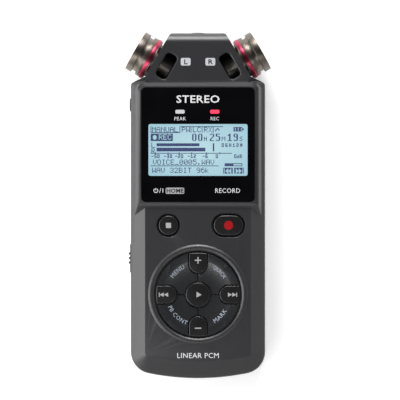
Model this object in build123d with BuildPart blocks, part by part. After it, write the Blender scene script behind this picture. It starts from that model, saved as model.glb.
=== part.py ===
from build123d import *
from math import cos, radians, sin, tan
import os

# A handheld stereo voice recorder, lying on its back. Millimetres.
# +Z points out of the display side, +Y towards the microphones, +X to the right of the display.
# The origin is on the back face, under the middle of the display side.

# ---- Driving dimensions: the body ----
body_width = 54.7
body_top_y = 50.2
body_bottom_y = -70.7
bottom_bow = 3.76        # how far the curved bottom edge sags over the full width
bottom_corner_r = 9.0
shoulder_drop = 0.75     # the sloping shoulder falls this far at each upper corner
shoulder_run = 1.65
shoulder_r = 1.5
wall = 1.6
split_z = 11.5           # parting line of the two case halves
bevel_depth = 4.2        # the bevel's height, measured down from the key-carrying face
bevel_run = 5.85         # the side bevel's width, seen from above
bottom_bevel_run = 7.0
face_bow = 2.5
face_corner_r = 1.6
bevel_edge_r = 1.2
back_edge_r = 1.6

# ---- Driving dimensions: the raised display block ----
block_side_run = 2.75    # from the body's side to the block's upper edge
block_top_y = 49.5
block_bottom_y = -0.5
block_corner_r = 3.0
block_low_corner_r = 0.5
block_edge_rise = 0.8    # outer edge of the sloping band, above the key-carrying face
block_rise = 1.2
block_foot_run = 1.15    # from the body's side to the block's foot
block_foot_rise = 0.6
block_foot_slope = 5.0
lens_width = 45.8
lens_height = 46.2
lens_y = 24.3
lens_r = 1.8
lens_t = 1.2
lens_drop = 0.1
band_rim = 0.45
fit_gap = 0.15           # gap round pieces that seat in a recess

# ---- Driving dimensions: the microphone head ----
head_back_z = 1.2
head_top_y = 69.8
mic_tilt = 30.0
mic_wall_x = 17.6        # where the microphone axis leaves the slanted wall
mic_wall_y = 58.6
head_foot_x = 21.3
head_foot_y = 52.2
head_corner_r = 1.6
head_top_r = 4.0
head_wall = 1.5
window_width = 5.0
window_length = 10.8
window_shift = 0.4       # window centre, measured up along the slanted wall
window_depth_in = 5.3    # window centre, measured inwards from the slanted wall
window_corner_r = 1.7
window_chamfer = 0.45

# ---- Driving dimensions: the turned microphone rings ----
base_ring_t = 1.45
red_ring_t = 1.5
inner_ring_t = 1.8
neck_t = 1.8
cap_t = 2.65
base_ring_r = 7.2
base_flange_r = 8.4
base_flange_t = 0.4
red_ring_r = 8.85
inner_ring_r = 8.6
neck_r = 7.6
cap_r = 8.65
ring_edge = 0.25
cap_bore_r = 6.9
barrel_r = 4.4
barrel_inside = 7.2
capsule_t = 3.6
grille_t = 0.5
grille_dome = 0.7
turned_gap = 0.05

# ---- Driving dimensions: keys ----
key_travel = 0.35
key_r = 3.95
key_gap = 0.6
record_key_length = 12.0
record_key_height = 8.1
record_key_x = 12.4
stop_key_x = -12.0
upper_keys_y = -8.4
key_rise = 0.3           # stop and record stand this far above the face
key_flange = 0.9
key_flange_t = 0.8
rim_chamfer = 0.45
pad_y = -36.5
pad_gap = 0.8
pad_rim_width = 2.5
pad_rim_rise = 0.5
pad_key_r = 17.0
pad_band = 2.8           # flat band outside the dish of the four corner keys
pad_dish_inner_r = 6.4
pad_dish_depth = 1.0
pad_rise = 0.5
key_edge_r = 0.3
play_r = 4.9
play_gap = 0.55
cross_key_width = 7.2
cross_key_in = 8.8
cross_gap = 0.5
quadrant_gap = 0.6
guide_t = 0.6
guide_lap = 1.2
guide_lift = 0.05
stem_r = 1.5
quadrant_stem_inset = 4.4
stem_gap = 0.1
nib_r = 0.5
nib_rise = 0.2
nib_inset = 1.0

# ---- Driving dimensions: electronics ----
board_lift = 0.5         # air between the battery cradle and the board
board_t = 1.2
board_width = 40.6
board_top_y = 47.0
board_bottom_y = -63.0
switch_height = 1.7
switch_size = 3.5
switch_clear = 0.45      # air between a resting key and its switch
lcd_view_width = 40.2
lcd_view_height = 21.0
lcd_view_y = 22.2
lcd_view_r = 0.8
lcd_border = 1.9
lcd_glass_t = 1.4
lcd_light_t = 1.9
lcd_light_lift = 0.2     # the backlight sits this far above the board
led_x = {"peak": -7.3, "record": 6.8}
led_y = 37.7
led_slot = (3.9, 1.65)
led_height = 0.8
jack_bore_r = 1.8        # 3.5 mm plug
jack_neck_r = 2.6
jack_proud = 0.5
jack_hole_gap = 0.15
jack_body = (13.0, 6.4, 4.8)
jack_bore_depth = 14.0
jack_drop = 0.2          # air between the jack's body and the board
phones_y = 40.75
usb_y = 22.0
usb_size = (8.94, 3.26)
usb_shell = 0.3
usb_depth = 7.3
card_y = 4.0
card_cover_length = 15.0
card_cover_height = 5.4
card_cover_floor = 0.25
card_slot = (12.0, 1.6)
card_body_depth = 14.0
card_swing = 95.0
pin_r = 0.35
pin_length = 0.6

# ---- Driving dimensions: hold switch ----
hold_y = -21.8
hold_length = 11.6
hold_height = 4.2
hold_proud = 0.4
hold_t = 1.15
hold_travel = 2.5
hold_gap = 0.3
hold_neck = (3.0, 1.2)
hold_neck_length = 2.4
hold_rib = 0.8
hold_rib_pitch = 1.85
hold_rib_rise = 0.5

# ---- Driving dimensions: power and the back ----
cell_r = 7.25
cell_length = 50.5
cell_gap = 0.5           # between the two cells
cell_bottom_z = 2.0
cell_y = -36.2
door_margin = 0.9        # the door is this much wider than the pair of cells
door_tongue = 0.8
door_seat = 0.1          # the door is this much thinner than the wall
door_lip = 0.6
door_top_y = -8.2
door_gap = 0.15
door_slide = 6.0
cradle_wall = 1.0
cradle_roof = 0.8
cradle_lift = 0.1        # air between a cell and the cradle's roof
cradle_gap = 0.3         # from the door's tongue to the cradle's inner face
cradle_end = 2.6
spring_r = 4.2
contact_t = 0.4
tripod_y = 9.0
tripod_minor_r = 2.6     # 1/4-20 UNC, drawn at its minor diameter
tripod_insert_r = 4.4
tripod_depth = 6.5
tripod_insert_t = 7.5
boss_wall = 1.4
speaker_y = 31.0
speaker_r = 10.0
speaker_t = 4.6
grille_hole_r = 0.6
screw_top = (4.95, 46.4)  # from the body's side, and along it
screw_low = (6.15, 13.5)  # from the body's side, and from its bottom edge
screw_low_gap = 1.6      # at least this far from the cradle to the screw's post
screw_boss_r = 2.3
screw_shank_r = 0.8
screw_head_r = 1.8
screw_head_t = 1.4
screw_sink = 0.6
screw_bite = 8.6         # depth of the pilot holes in the front case's posts
screw_clear = 0.05

os.makedirs("parts", exist_ok=True)

half = body_width / 2
face_width = body_width - 2 * bevel_run
face_bottom_y = body_bottom_y + bottom_bevel_run
block_width = body_width - 2 * block_side_run
block_foot_width = body_width - 2 * block_foot_run
card_cover_t = wall - card_cover_floor - fit_gap
door_t = wall - door_seat
cell_pitch = 2 * cell_r + cell_gap
door_width = cell_pitch + 2 * cell_r + door_margin
cradle_half = door_width / 2 + door_tongue + cradle_gap
cradle_top_z = cell_bottom_z + 2 * cell_r + cradle_lift + cradle_roof
board_z = cradle_top_z + board_lift
port_z = board_z - jack_drop - jack_body[2] / 2
ceiling_z = board_z + board_t + lcd_light_lift + lcd_light_t + lcd_glass_t
face_z = ceiling_z + wall    # the lower, key-carrying face
bevel_z = face_z - bevel_depth
block_edge_z = face_z + block_edge_rise
block_top_z = face_z + block_rise
head_front_z = face_z
mic_z = (head_back_z + head_front_z) / 2
key_top_z = face_z + key_rise
pad_top_z = face_z + pad_rise
ear_top_z = bevel_z + 0.6
post_top_z = bevel_z + 1.2
pad_pocket_r = pad_key_r + pad_gap
pad_rim_r = pad_pocket_r + pad_rim_width
pad_dish_r = pad_key_r - pad_band
nib_at_r = pad_key_r - nib_inset
guide_r = pad_pocket_r + guide_lap
quadrant_stem_r = pad_key_r - quadrant_stem_inset
screw_low_x = max(half - screw_low[0], cradle_half + cradle_wall + screw_low_gap + screw_boss_r)
screw_places = [
    (side * x, y)
    for x, y in ((half - screw_top[0], screw_top[1]), (screw_low_x, body_bottom_y + screw_low[1]))
    for side in (-1, 1)
]
key_foot_z = board_z + board_t + switch_height + switch_clear
flange_top_z = key_foot_z + key_flange_t
lens_z = block_top_z - lens_drop - lens_t


def save(piece, label):
    piece.part.label = label
    export_step(piece.part, f"parts/{label}.step")
    print("built", label)


# The plan of the case at one height: a rectangle with sloping shoulders and a bowed bottom edge.
def case_plan(width, top_y, bottom_y, bow, corner_r, inset=0.0):
    side = width / 2 - inset
    top = top_y - inset
    bottom = bottom_y + inset
    with BuildSketch(mode=Mode.PRIVATE) as plan:
        with BuildLine():
            Polyline(
                (-side, bottom + bow),
                (-side, top - shoulder_drop),
                (-side + shoulder_run, top),
                (side - shoulder_run, top),
                (side, top - shoulder_drop),
                (side, bottom + bow),
            )
            ThreePointArc((side, bottom + bow), (0, bottom), (-side, bottom + bow))
        make_face()
        fillet(plan.vertices().group_by(Axis.Y)[0], max(corner_r - inset, 0.6))
        fillet(
            plan.vertices().filter_by(lambda v: abs(v.Y - (top - shoulder_drop)) < 0.01),
            shoulder_r,
        )
    return plan.sketch


def body_plan(inset=0.0):
    return case_plan(body_width, body_top_y, body_bottom_y, bottom_bow, bottom_corner_r, inset)


def face_plan(inset=0.0):
    return case_plan(face_width, body_top_y, face_bottom_y, face_bow, face_corner_r, inset)


# The ear at each shoulder, which carries the slope on up to the foot of the microphone head.
def ear_plan():
    with BuildSketch(mode=Mode.PRIVATE) as plan:
        with BuildLine():
            Polyline(
                (head_foot_x + fit_gap, body_top_y - wall),
                (head_foot_x + fit_gap, head_foot_y - fit_gap / 2),
                (half - shoulder_run, body_top_y),
                (half - shoulder_run, body_top_y - wall),
                close=True,
            )
        make_face()
        mirror(about=Plane.YZ)
    return plan.sketch


# The display block's plan at one height, given how far it has spread from its outer edge.
def block_plan(width, top_y, bottom_y):
    with BuildSketch(mode=Mode.PRIVATE) as plan:
        with Locations((0, (top_y + bottom_y) / 2)):
            Rectangle(width, top_y - bottom_y)
        fillet(plan.vertices().group_by(Axis.Y)[-1], block_corner_r)
        fillet(plan.vertices().group_by(Axis.Y)[0], block_low_corner_r)
    return plan.sketch


# ---- Sizes of the display block, the side recesses and the card cover's hinge ----
lens_recess = (lens_width + 2 * fit_gap, lens_height + 2 * fit_gap)
block_top_width = lens_recess[0] + 2 * band_rim
block_top_height = lens_recess[1] + 2 * band_rim
cavity_half = block_width / 2 - 1.0
lcd_size = (lcd_view_width + 2 * lcd_border, lcd_view_height + 2 * lcd_border)
hold_recess_length = hold_length + hold_travel + 2 * hold_gap
hold_recess_x = half + hold_proud - hold_t - 0.15
hold_slot_length = hold_neck[0] + hold_travel + 2 * hold_gap
hinge_x = half - card_cover_t / 2
hinge_y = card_y - card_cover_length / 2 + card_cover_t / 2


# Plans of the keys in the round pad, with the pad's centre at the sketch's origin.
def cross_key_plan(angle, grow=0.0):
    inner = cross_key_in - grow
    length = pad_pocket_r + cross_key_width - inner
    middle = inner + length / 2
    place = (middle * cos(radians(angle)), middle * sin(radians(angle)), 0)
    with BuildSketch(mode=Mode.PRIVATE) as plan:
        with Locations(Location(place, (0, 0, angle))):
            SlotOverall(length, cross_key_width + 2 * grow)
        Circle(pad_key_r, mode=Mode.INTERSECT)
    return plan.sketch


def quadrant_key_plan(angle):
    with BuildSketch(mode=Mode.PRIVATE) as plan:
        Circle(pad_key_r)
        Circle(play_r + play_gap, mode=Mode.SUBTRACT)
        for cross_angle in (0, 90, 180, 270):
            add(cross_key_plan(cross_angle, cross_gap), mode=Mode.SUBTRACT)
        corner = pad_key_r / 2 + quadrant_gap / 2
        right = 1 if cos(radians(angle)) > 0 else -1
        up = 1 if sin(radians(angle)) > 0 else -1
        with Locations((corner * right, corner * up)):
            Rectangle(pad_key_r, pad_key_r, mode=Mode.INTERSECT)
    return plan.sketch


# ---- Front case: the bevelled body, the display block and every opening for keys and ports ----
with BuildPart() as front_case:
    with BuildSketch(Plane.XY.offset(split_z)):
        add(body_plan())
    extrude(amount=bevel_z - split_z)
    with BuildSketch(Plane.XY.offset(bevel_z)):
        add(body_plan())
    with BuildSketch(Plane.XY.offset(face_z)):
        add(face_plan())
    loft(ruled=True)
    side_edges = front_case.edges().filter_by_position(Axis.Z, bevel_z - 0.01, bevel_z + 0.01)
    fillet(side_edges.filter_by(lambda edge: edge.center().Y < body_top_y - 2 * shoulder_drop), bevel_edge_r)
    with BuildSketch(Plane.XY.offset(block_edge_z - block_foot_slope)):
        add(block_plan(block_foot_width, block_top_y + block_foot_rise, block_bottom_y - block_foot_slope))
    with BuildSketch(Plane.XY.offset(block_edge_z)):
        add(block_plan(block_width, block_top_y, block_bottom_y))
    loft(ruled=True)
    with BuildSketch(Plane.XY.offset(block_edge_z)):
        add(block_plan(block_width, block_top_y, block_bottom_y))
    with BuildSketch(Plane.XY.offset(block_top_z)) as band_sketch:
        with Locations((0, lens_y)):
            Rectangle(block_top_width, block_top_height)
        fillet(band_sketch.vertices(), lens_r + fit_gap + band_rim)
    loft(ruled=True)
    with BuildSketch(Plane.XY.offset(split_z)):
        add(ear_plan())
    extrude(amount=ear_top_z - split_z)
    # raised rim round the pad
    with BuildSketch(Plane.YZ):
        with BuildLine():
            rim_mid = pad_y - (pad_pocket_r + pad_rim_r) / 2
            rim = ThreePointArc(
                (pad_y - pad_pocket_r, face_z), (rim_mid, face_z + pad_rim_rise), (pad_y - pad_rim_r, face_z)
            )
            foot_z = ceiling_z + 0.2
            Polyline(rim @ 1, (pad_y - pad_rim_r, foot_z), (pad_y - pad_pocket_r, foot_z), rim @ 0)
        make_face()
    revolve(axis=Axis((0, pad_y, 0), (0, 0, 1)))
    # hollow inside
    with BuildSketch(Plane.XY.offset(split_z)):
        add(body_plan(wall))
    extrude(amount=bevel_z - 1.0 - split_z, mode=Mode.SUBTRACT)
    with BuildSketch(Plane.XY.offset(bevel_z - 1.0)):
        add(body_plan(wall))
    with BuildSketch(Plane.XY.offset(ceiling_z)):
        add(face_plan(wall))
    loft(ruled=True, mode=Mode.SUBTRACT)
    with BuildSketch(Plane.XY.offset(split_z)):
        with Locations((0, (block_top_y - wall + block_bottom_y + wall) / 2)):
            Rectangle(2 * cavity_half, block_top_y - block_bottom_y - 2 * wall)
    extrude(amount=ceiling_z - split_z, mode=Mode.SUBTRACT)
    # screw posts
    with BuildSketch(Plane.XY.offset(split_z)):
        with Locations(*screw_places):
            Circle(screw_boss_r)
    extrude(amount=post_top_z - split_z)
    with BuildSketch(Plane.XY.offset(split_z)):
        with Locations(*screw_places):
            Circle(screw_shank_r + screw_clear)
    extrude(amount=screw_bite, mode=Mode.SUBTRACT)
    # display: recess for the lens, view window and the two indicator slots
    with BuildSketch(Plane.XY.offset(lens_z)):
        with Locations((0, lens_y)):
            RectangleRounded(*lens_recess, lens_r + fit_gap)
    extrude(amount=block_top_z - lens_z, mode=Mode.SUBTRACT)
    with BuildSketch(Plane.XY.offset(ceiling_z)):
        with Locations((0, lcd_view_y)):
            RectangleRounded(lcd_view_width + 0.6, lcd_view_height + 0.6, lcd_view_r)
        with Locations(*[(x, led_y) for x in led_x.values()]):
            RectangleRounded(*led_slot, 0.6)
    extrude(amount=lens_z - ceiling_z, mode=Mode.SUBTRACT)
    # key openings
    with BuildSketch(Plane.XY.offset(ceiling_z)):
        with Locations((stop_key_x, upper_keys_y)):
            Circle(key_r + key_gap)
        with Locations((record_key_x, upper_keys_y)):
            SlotOverall(record_key_length + 2 * key_gap, record_key_height + 2 * key_gap)
        with Locations((0, pad_y)):
            Circle(pad_pocket_r)
    extrude(amount=face_z + pad_rim_rise - ceiling_z, mode=Mode.SUBTRACT)
    key_edges = front_case.edges().filter_by_position(Axis.Z, face_z - 0.01, face_z + 0.01)
    key_edges = key_edges.filter_by_position(Axis.Y, upper_keys_y - 6, upper_keys_y + 6)
    chamfer(key_edges.filter_by_position(Axis.X, -19, 20), rim_chamfer)
    # left side: headphone jack and hold switch
    with BuildSketch(Plane.YZ.offset(-half - 1)):
        with Locations((phones_y, port_z)):
            Circle(jack_neck_r + jack_hole_gap)
    extrude(amount=wall + 2, mode=Mode.SUBTRACT)
    with BuildSketch(Plane.YZ.offset(-half - 1)):
        with Locations((hold_y + hold_travel / 2, port_z)):
            RectangleRounded(hold_recess_length, hold_height + 2 * hold_gap, 0.8)
    extrude(amount=half - hold_recess_x + 1, mode=Mode.SUBTRACT)
    with BuildSketch(Plane.YZ.offset(-half - 1)):
        with Locations((hold_y + hold_travel / 2, port_z)):
            Rectangle(hold_slot_length, hold_neck[1] + 2 * hold_gap)
    extrude(amount=wall + 2, mode=Mode.SUBTRACT)
    # right side: USB-C port, card slot and the seat of its hinged cover
    with BuildSketch(Plane.YZ.offset(half - wall - 1)):
        with Locations((usb_y, port_z)):
            SlotOverall(usb_size[0] + 2 * fit_gap, usb_size[1] + 2 * fit_gap)
        with Locations((card_y, port_z)):
            Rectangle(card_slot[0] + 1, card_slot[1] + 1)
    extrude(amount=wall + 2, mode=Mode.SUBTRACT)
    with BuildSketch(Plane.YZ.offset(half - card_cover_t - fit_gap)):
        with Locations((card_y, port_z)):
            Rectangle(card_cover_length + 2 * fit_gap, card_cover_height + 2 * fit_gap)
    extrude(amount=card_cover_t + 1, mode=Mode.SUBTRACT)
    with BuildSketch(Plane.XY.offset(port_z - card_cover_height / 2 - pin_length - 2 * fit_gap)):
        with Locations((hinge_x, hinge_y)):
            Circle(pin_r + turned_gap)
    extrude(amount=card_cover_height + 2 * pin_length + 4 * fit_gap, mode=Mode.SUBTRACT)
save(front_case, "front_case")

# ---- Rear case: the flat back, with the battery bay, the speaker grille and the tripod socket ----
door_half = door_width / 2
tongue_half = door_half + door_tongue
cell_top_y = cell_y + cell_length / 2
cell_bottom_y = cell_y - cell_length / 2
cradle_top_y = cell_top_y + cradle_end
cradle_bottom_y = cell_bottom_y - cradle_end
door_length = door_top_y - body_bottom_y


def door_profile(gap):
    with BuildSketch(Plane.XZ, mode=Mode.PRIVATE) as profile:
        with Locations((0, (door_lip + gap) / 2)):
            Rectangle(door_width + 2 * gap, door_lip + gap)
        with Locations((0, door_lip - gap + (door_t - door_lip + 2 * gap) / 2)):
            Rectangle(2 * (tongue_half + gap), door_t - door_lip + 2 * gap)
    return profile.sketch


with BuildPart() as rear_form:
    with BuildSketch(Plane.XY):
        add(body_plan())
    extrude(amount=split_z)
    fillet(rear_form.faces().sort_by(Axis.Z)[0].edges(), back_edge_r)

with BuildPart() as rear_case:
    add(rear_form.part)
    with BuildSketch(Plane.XY.offset(back_edge_r + 0.6)):
        add(ear_plan())
    extrude(amount=split_z - back_edge_r - 0.6)
    with BuildSketch(Plane.XY.offset(wall)):
        add(body_plan(wall))
    extrude(amount=split_z - wall, mode=Mode.SUBTRACT)
    with BuildSketch(Plane.XY.offset(wall / 2)):
        with Locations(*screw_places):
            Circle(screw_boss_r)
        with Locations((0, tripod_y)):
            Circle(tripod_insert_r + boss_wall)
    extrude(amount=split_z - wall / 2)
    with BuildSketch(Plane.XY.offset(tripod_insert_t + 1)):
        with Locations((0, tripod_y)):
            Circle(tripod_insert_r + boss_wall + 0.5)
    extrude(amount=split_z, mode=Mode.SUBTRACT)
    # battery door opening, open at the bottom end so that the door slides off
    with BuildSketch(Plane.XZ.offset(-door_top_y - door_gap)):
        add(door_profile(door_gap))
    extrude(amount=door_length + 1, mode=Mode.SUBTRACT)
    with BuildSketch(Plane.XY):
        with Locations((0, (cradle_top_y + cradle_bottom_y) / 2)):
            Rectangle(2 * door_half + 2 * door_gap, cradle_top_y - cradle_bottom_y)
    extrude(amount=wall + 0.1, mode=Mode.SUBTRACT)
    # screw wells
    with BuildSketch(Plane.XY):
        with Locations(*screw_places):
            Circle(screw_head_r + 2 * screw_clear)
    extrude(amount=screw_sink + screw_head_t, mode=Mode.SUBTRACT)
    with BuildSketch(Plane.XY):
        with Locations(*screw_places):
            Circle(screw_shank_r + 2 * screw_clear)
    extrude(amount=split_z, mode=Mode.SUBTRACT)
    # tripod socket
    with BuildSketch(Plane.XY):
        with Locations((0, tripod_y)):
            Circle(tripod_insert_r)
    extrude(amount=tripod_insert_t, mode=Mode.SUBTRACT)
    # speaker grille
    with BuildSketch(Plane.XY):
        with Locations((0, speaker_y)):
            with PolarLocations(3.0, 6):
                Circle(grille_hole_r)
            with PolarLocations(6.0, 12):
                Circle(grille_hole_r)
            Circle(grille_hole_r)
    extrude(amount=wall, mode=Mode.SUBTRACT)
save(rear_case, "rear_case")

with BuildPart() as battery_door:
    with BuildSketch(Plane.XZ.offset(-door_top_y)):
        add(door_profile(0))
    extrude(amount=door_length)
    add(rear_form.part, mode=Mode.INTERSECT)
    with BuildSketch(Plane.XY):
        with Locations((0, cell_bottom_y + 2)):
            with GridLocations(0, 1.6, 1, 5):
                Rectangle(12, 0.7)
    extrude(amount=0.3, mode=Mode.SUBTRACT)
save(battery_door, "battery_door")

with BuildPart() as battery_cradle:
    with BuildSketch(Plane.XY.offset(wall)):
        with Locations((0, (cradle_top_y + cradle_bottom_y) / 2)):
            Rectangle(2 * (cradle_half + cradle_wall), cradle_top_y - cradle_bottom_y + 2 * cradle_wall)
    extrude(amount=cradle_top_z - wall)
    with BuildSketch(Plane.XY.offset(wall)):
        with Locations((0, (cradle_top_y + cradle_bottom_y) / 2)):
            Rectangle(2 * cradle_half, cradle_top_y - cradle_bottom_y)
    extrude(amount=cradle_top_z - wall - cradle_roof, mode=Mode.SUBTRACT)
save(battery_cradle, "battery_cradle")

# ---- Cells, with their raised positive caps at opposite ends, and the contacts ----
cell_z = cell_bottom_z + cell_r
for label, side in (("left_battery_cell", -1), ("right_battery_cell", 1)):
    with BuildPart() as cell:
        with BuildSketch(Plane.XZ.offset(-cell_y + cell_length / 2 - 1.0)):
            with Locations((side * cell_pitch / 2, cell_z)):
                Circle(cell_r)
        extrude(amount=-(cell_length - 1.0))
        with BuildSketch(Plane.XZ.offset(-cell_y + cell_length / 2)):
            with Locations((side * cell_pitch / 2, cell_z)):
                Circle(2.75)
        extrude(amount=-1.0)
    save(cell, label)

with BuildPart() as battery_contacts:
    for end_y, out in ((cradle_top_y, 1), (cradle_bottom_y, -1)):
        for side in (-1, 1):
            with Locations((side * cell_pitch / 2, end_y - out * contact_t / 2, cell_z)):
                Box(11, contact_t, 10)
save(battery_contacts, "battery_contacts")

with BuildPart() as battery_springs:
    for side in (-1, 1):
        start = cradle_top_y - contact_t
        with BuildSketch(Plane.XZ.offset(-start)):
            with Locations((side * cell_pitch / 2, cell_z)):
                Circle(spring_r)
        extrude(amount=start - cell_top_y, taper=20)
save(battery_springs, "battery_springs")

# ---- Case screws, driven from the back ----
with BuildPart() as case_screws:
    for x, y in screw_places:
        with BuildSketch(Plane.XY.offset(screw_sink)):
            with Locations((x, y)):
                Circle(screw_head_r)
        extrude(amount=screw_head_t)
        with BuildSketch(Plane.XY.offset(screw_sink + screw_head_t)):
            with Locations((x, y)):
                Circle(screw_shank_r)
        extrude(amount=split_z + screw_bite - 0.6 - screw_sink - screw_head_t)
        with BuildSketch(Plane.XY.offset(screw_sink)):
            with Locations((x, y)):
                Rectangle(2.0, 0.5)
                Rectangle(0.5, 2.0)
        extrude(amount=0.7, mode=Mode.SUBTRACT)
save(case_screws, "case_screws")

# ---- Tripod insert ----
with BuildPart() as tripod_insert:
    with BuildSketch(Plane.XY.offset(0.05)):
        with Locations((0, tripod_y)):
            Circle(tripod_insert_r)
    extrude(amount=tripod_insert_t - 0.1)
    with BuildSketch(Plane.XY):
        with Locations((0, tripod_y)):
            Circle(tripod_minor_r)
    extrude(amount=tripod_depth, mode=Mode.SUBTRACT)
    chamfer(tripod_insert.edges().filter_by(GeomType.CIRCLE).group_by(Axis.Z)[0].sort_by(SortBy.RADIUS)[0], 0.5)
save(tripod_insert, "tripod_insert")

# ---- Speaker ----
with BuildPart() as speaker:
    with BuildSketch(Plane.XY.offset(wall)):
        with Locations((0, speaker_y)):
            Circle(speaker_r)
    extrude(amount=2.0)
    with BuildSketch(Plane.XY.offset(wall + 2.0)):
        with Locations((0, speaker_y)):
            Circle(speaker_r * 0.62)
    extrude(amount=speaker_t - 2.0)
save(speaker, "speaker")

# ---- Display: lens, liquid-crystal glass, its backlight, and the two indicator light guides ----
with BuildPart() as display_window:
    with BuildSketch(Plane.XY.offset(lens_z)):
        with Locations((0, lens_y)):
            RectangleRounded(lens_width, lens_height, lens_r)
        with Locations(*[(x, led_y) for x in led_x.values()]):
            RectangleRounded(*led_slot, 0.6, mode=Mode.SUBTRACT)
    extrude(amount=lens_t)
    chamfer(display_window.faces().sort_by(Axis.Z)[-1].outer_wire().edges(), 0.2)
save(display_window, "display_window")

with BuildPart() as lcd_glass:
    with BuildSketch(Plane.XY.offset(ceiling_z - lcd_glass_t)):
        with Locations((0, lcd_view_y)):
            Rectangle(*lcd_size)
    extrude(amount=lcd_glass_t)
save(lcd_glass, "lcd_glass")

with BuildPart() as lcd_backlight:
    with BuildSketch(Plane.XY.offset(ceiling_z - lcd_glass_t - lcd_light_t)):
        with Locations((0, lcd_view_y)):
            RectangleRounded(lcd_size[0] - 1, lcd_size[1] - 1, 0.8)
    extrude(amount=lcd_light_t)
save(lcd_backlight, "lcd_backlight")

led_top_z = board_z + board_t + led_height
for label, x in led_x.items():
    with BuildPart() as light_guide:
        with BuildSketch(Plane.XY.offset(led_top_z + 0.2)):
            with Locations((x, led_y)):
                RectangleRounded(led_slot[0] - 0.1, led_slot[1] - 0.1, 0.55)
        extrude(amount=lens_z + lens_t - led_top_z - 0.2)
    save(light_guide, f"{label}_light_guide")

with BuildPart() as indicator_leds:
    with BuildSketch(Plane.XY.offset(board_z + board_t)):
        with Locations(*[(x, led_y) for x in led_x.values()]):
            Rectangle(1.6, 0.8)
    extrude(amount=led_height)
save(indicator_leds, "indicator_leds")

# ---- Main circuit board ----
with BuildPart() as main_board:
    with BuildSketch(Plane.XY.offset(board_z)):
        with Locations((0, (board_top_y + board_bottom_y) / 2)):
            RectangleRounded(board_width, board_top_y - board_bottom_y, 2)
        with Locations(*screw_places):
            Circle(screw_boss_r + 0.4, mode=Mode.SUBTRACT)
    extrude(amount=board_t)
save(main_board, "main_board")

# ---- Keys: stop and record in the face, and nine in the round pad ----
def stem_section(place):
    with BuildSketch(Plane.XY.offset(key_foot_z), mode=Mode.PRIVATE) as section:
        with Locations(place):
            Circle(stem_r)
    return section.sketch


with BuildPart() as stop_key:
    with BuildSketch(Plane.XY.offset(flange_top_z - 0.2)):
        with Locations((stop_key_x, upper_keys_y)):
            Circle(key_r)
    extrude(amount=key_top_z - flange_top_z + 0.2)
    fillet(stop_key.faces().sort_by(Axis.Z)[-1].edges(), 0.4)
    with BuildSketch(Plane.XY.offset(flange_top_z - key_flange_t)):
        with Locations((stop_key_x, upper_keys_y)):
            Circle(key_r + key_gap + key_flange)
    extrude(amount=key_flange_t)
save(stop_key, "stop_key")

with BuildPart() as record_key:
    with BuildSketch(Plane.XY.offset(flange_top_z - 0.2)):
        with Locations((record_key_x, upper_keys_y)):
            SlotOverall(record_key_length, record_key_height)
    extrude(amount=key_top_z - flange_top_z + 0.2)
    fillet(record_key.faces().sort_by(Axis.Z)[-1].edges(), 0.4)
    with BuildSketch(Plane.XY.offset(flange_top_z - key_flange_t)):
        with Locations((record_key_x, upper_keys_y)):
            grow = 2 * (key_gap + key_flange)
            SlotOverall(record_key_length + grow, record_key_height + grow)
    extrude(amount=key_flange_t)
save(record_key, "record_key")

guide_top_z = ceiling_z + guide_lift
cap_bottom_z = guide_top_z + key_travel + 0.15
cross_stem_r = (cross_key_in + pad_key_r) / 2
cross_keys = {"next_key": 0, "plus_key": 90, "previous_key": 180, "minus_key": 270}
quadrant_keys = {"quick_key": 45, "menu_key": 135, "playback_key": 225, "mark_key": 315}
stems = {"play_key": (0, pad_y)}
for label, angle in cross_keys.items():
    stems[label] = (cross_stem_r * cos(radians(angle)), pad_y + cross_stem_r * sin(radians(angle)))
for label, angle in quadrant_keys.items():
    stems[label] = (quadrant_stem_r * cos(radians(angle)), pad_y + quadrant_stem_r * sin(radians(angle)))

# the shared form of the corner keys: a shallow dish inside a flat band
with BuildPart() as pad_dish:
    with BuildSketch(Plane.XZ.offset(-pad_y)):
        with BuildLine():
            dish_z = pad_top_z - pad_dish_depth
            dish_middle = ((pad_dish_r + pad_dish_inner_r) / 2, dish_z + pad_dish_depth / 4)
            Polyline((pad_dish_inner_r, dish_z), (0, dish_z), (0, cap_bottom_z), (pad_key_r, cap_bottom_z))
            Polyline((pad_key_r, cap_bottom_z), (pad_key_r, pad_top_z), (pad_dish_r, pad_top_z))
            ThreePointArc((pad_dish_r, pad_top_z), dish_middle, (pad_dish_inner_r, dish_z))
        make_face()
    revolve(axis=Axis((0, pad_y, 0), (0, 0, 1)))

plans = {label: cross_key_plan(angle) for label, angle in cross_keys.items()}
plans.update({label: quadrant_key_plan(angle) for label, angle in quadrant_keys.items()})
for label, plan in plans.items():
    with BuildPart() as key:
        with BuildSketch(Plane.XY.offset(cap_bottom_z)):
            with Locations((0, pad_y)):
                add(plan)
        extrude(amount=pad_top_z - cap_bottom_z)
        if label in cross_keys:
            fillet(key.faces().sort_by(Axis.Z)[-1].edges(), key_edge_r)
        if label in quadrant_keys:
            add(pad_dish.part, mode=Mode.INTERSECT)
            angle = radians(quadrant_keys[label])
            with BuildSketch(Plane.XY.offset(cap_bottom_z)):
                with Locations((nib_at_r * cos(angle), pad_y + nib_at_r * sin(angle))):
                    Circle(nib_r)
            extrude(amount=pad_top_z - cap_bottom_z + nib_rise)
        extrude(stem_section(stems[label]), amount=cap_bottom_z - key_foot_z)
    save(key, label)

with BuildPart() as play_key:
    with BuildSketch(Plane.XY.offset(cap_bottom_z)):
        with Locations((0, pad_y)):
            Circle(play_r)
    extrude(amount=pad_top_z - cap_bottom_z)
    fillet(play_key.faces().sort_by(Axis.Z)[-1].edges(), key_edge_r)
    extrude(stem_section(stems["play_key"]), amount=cap_bottom_z - key_foot_z)
save(play_key, "play_key")

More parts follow.
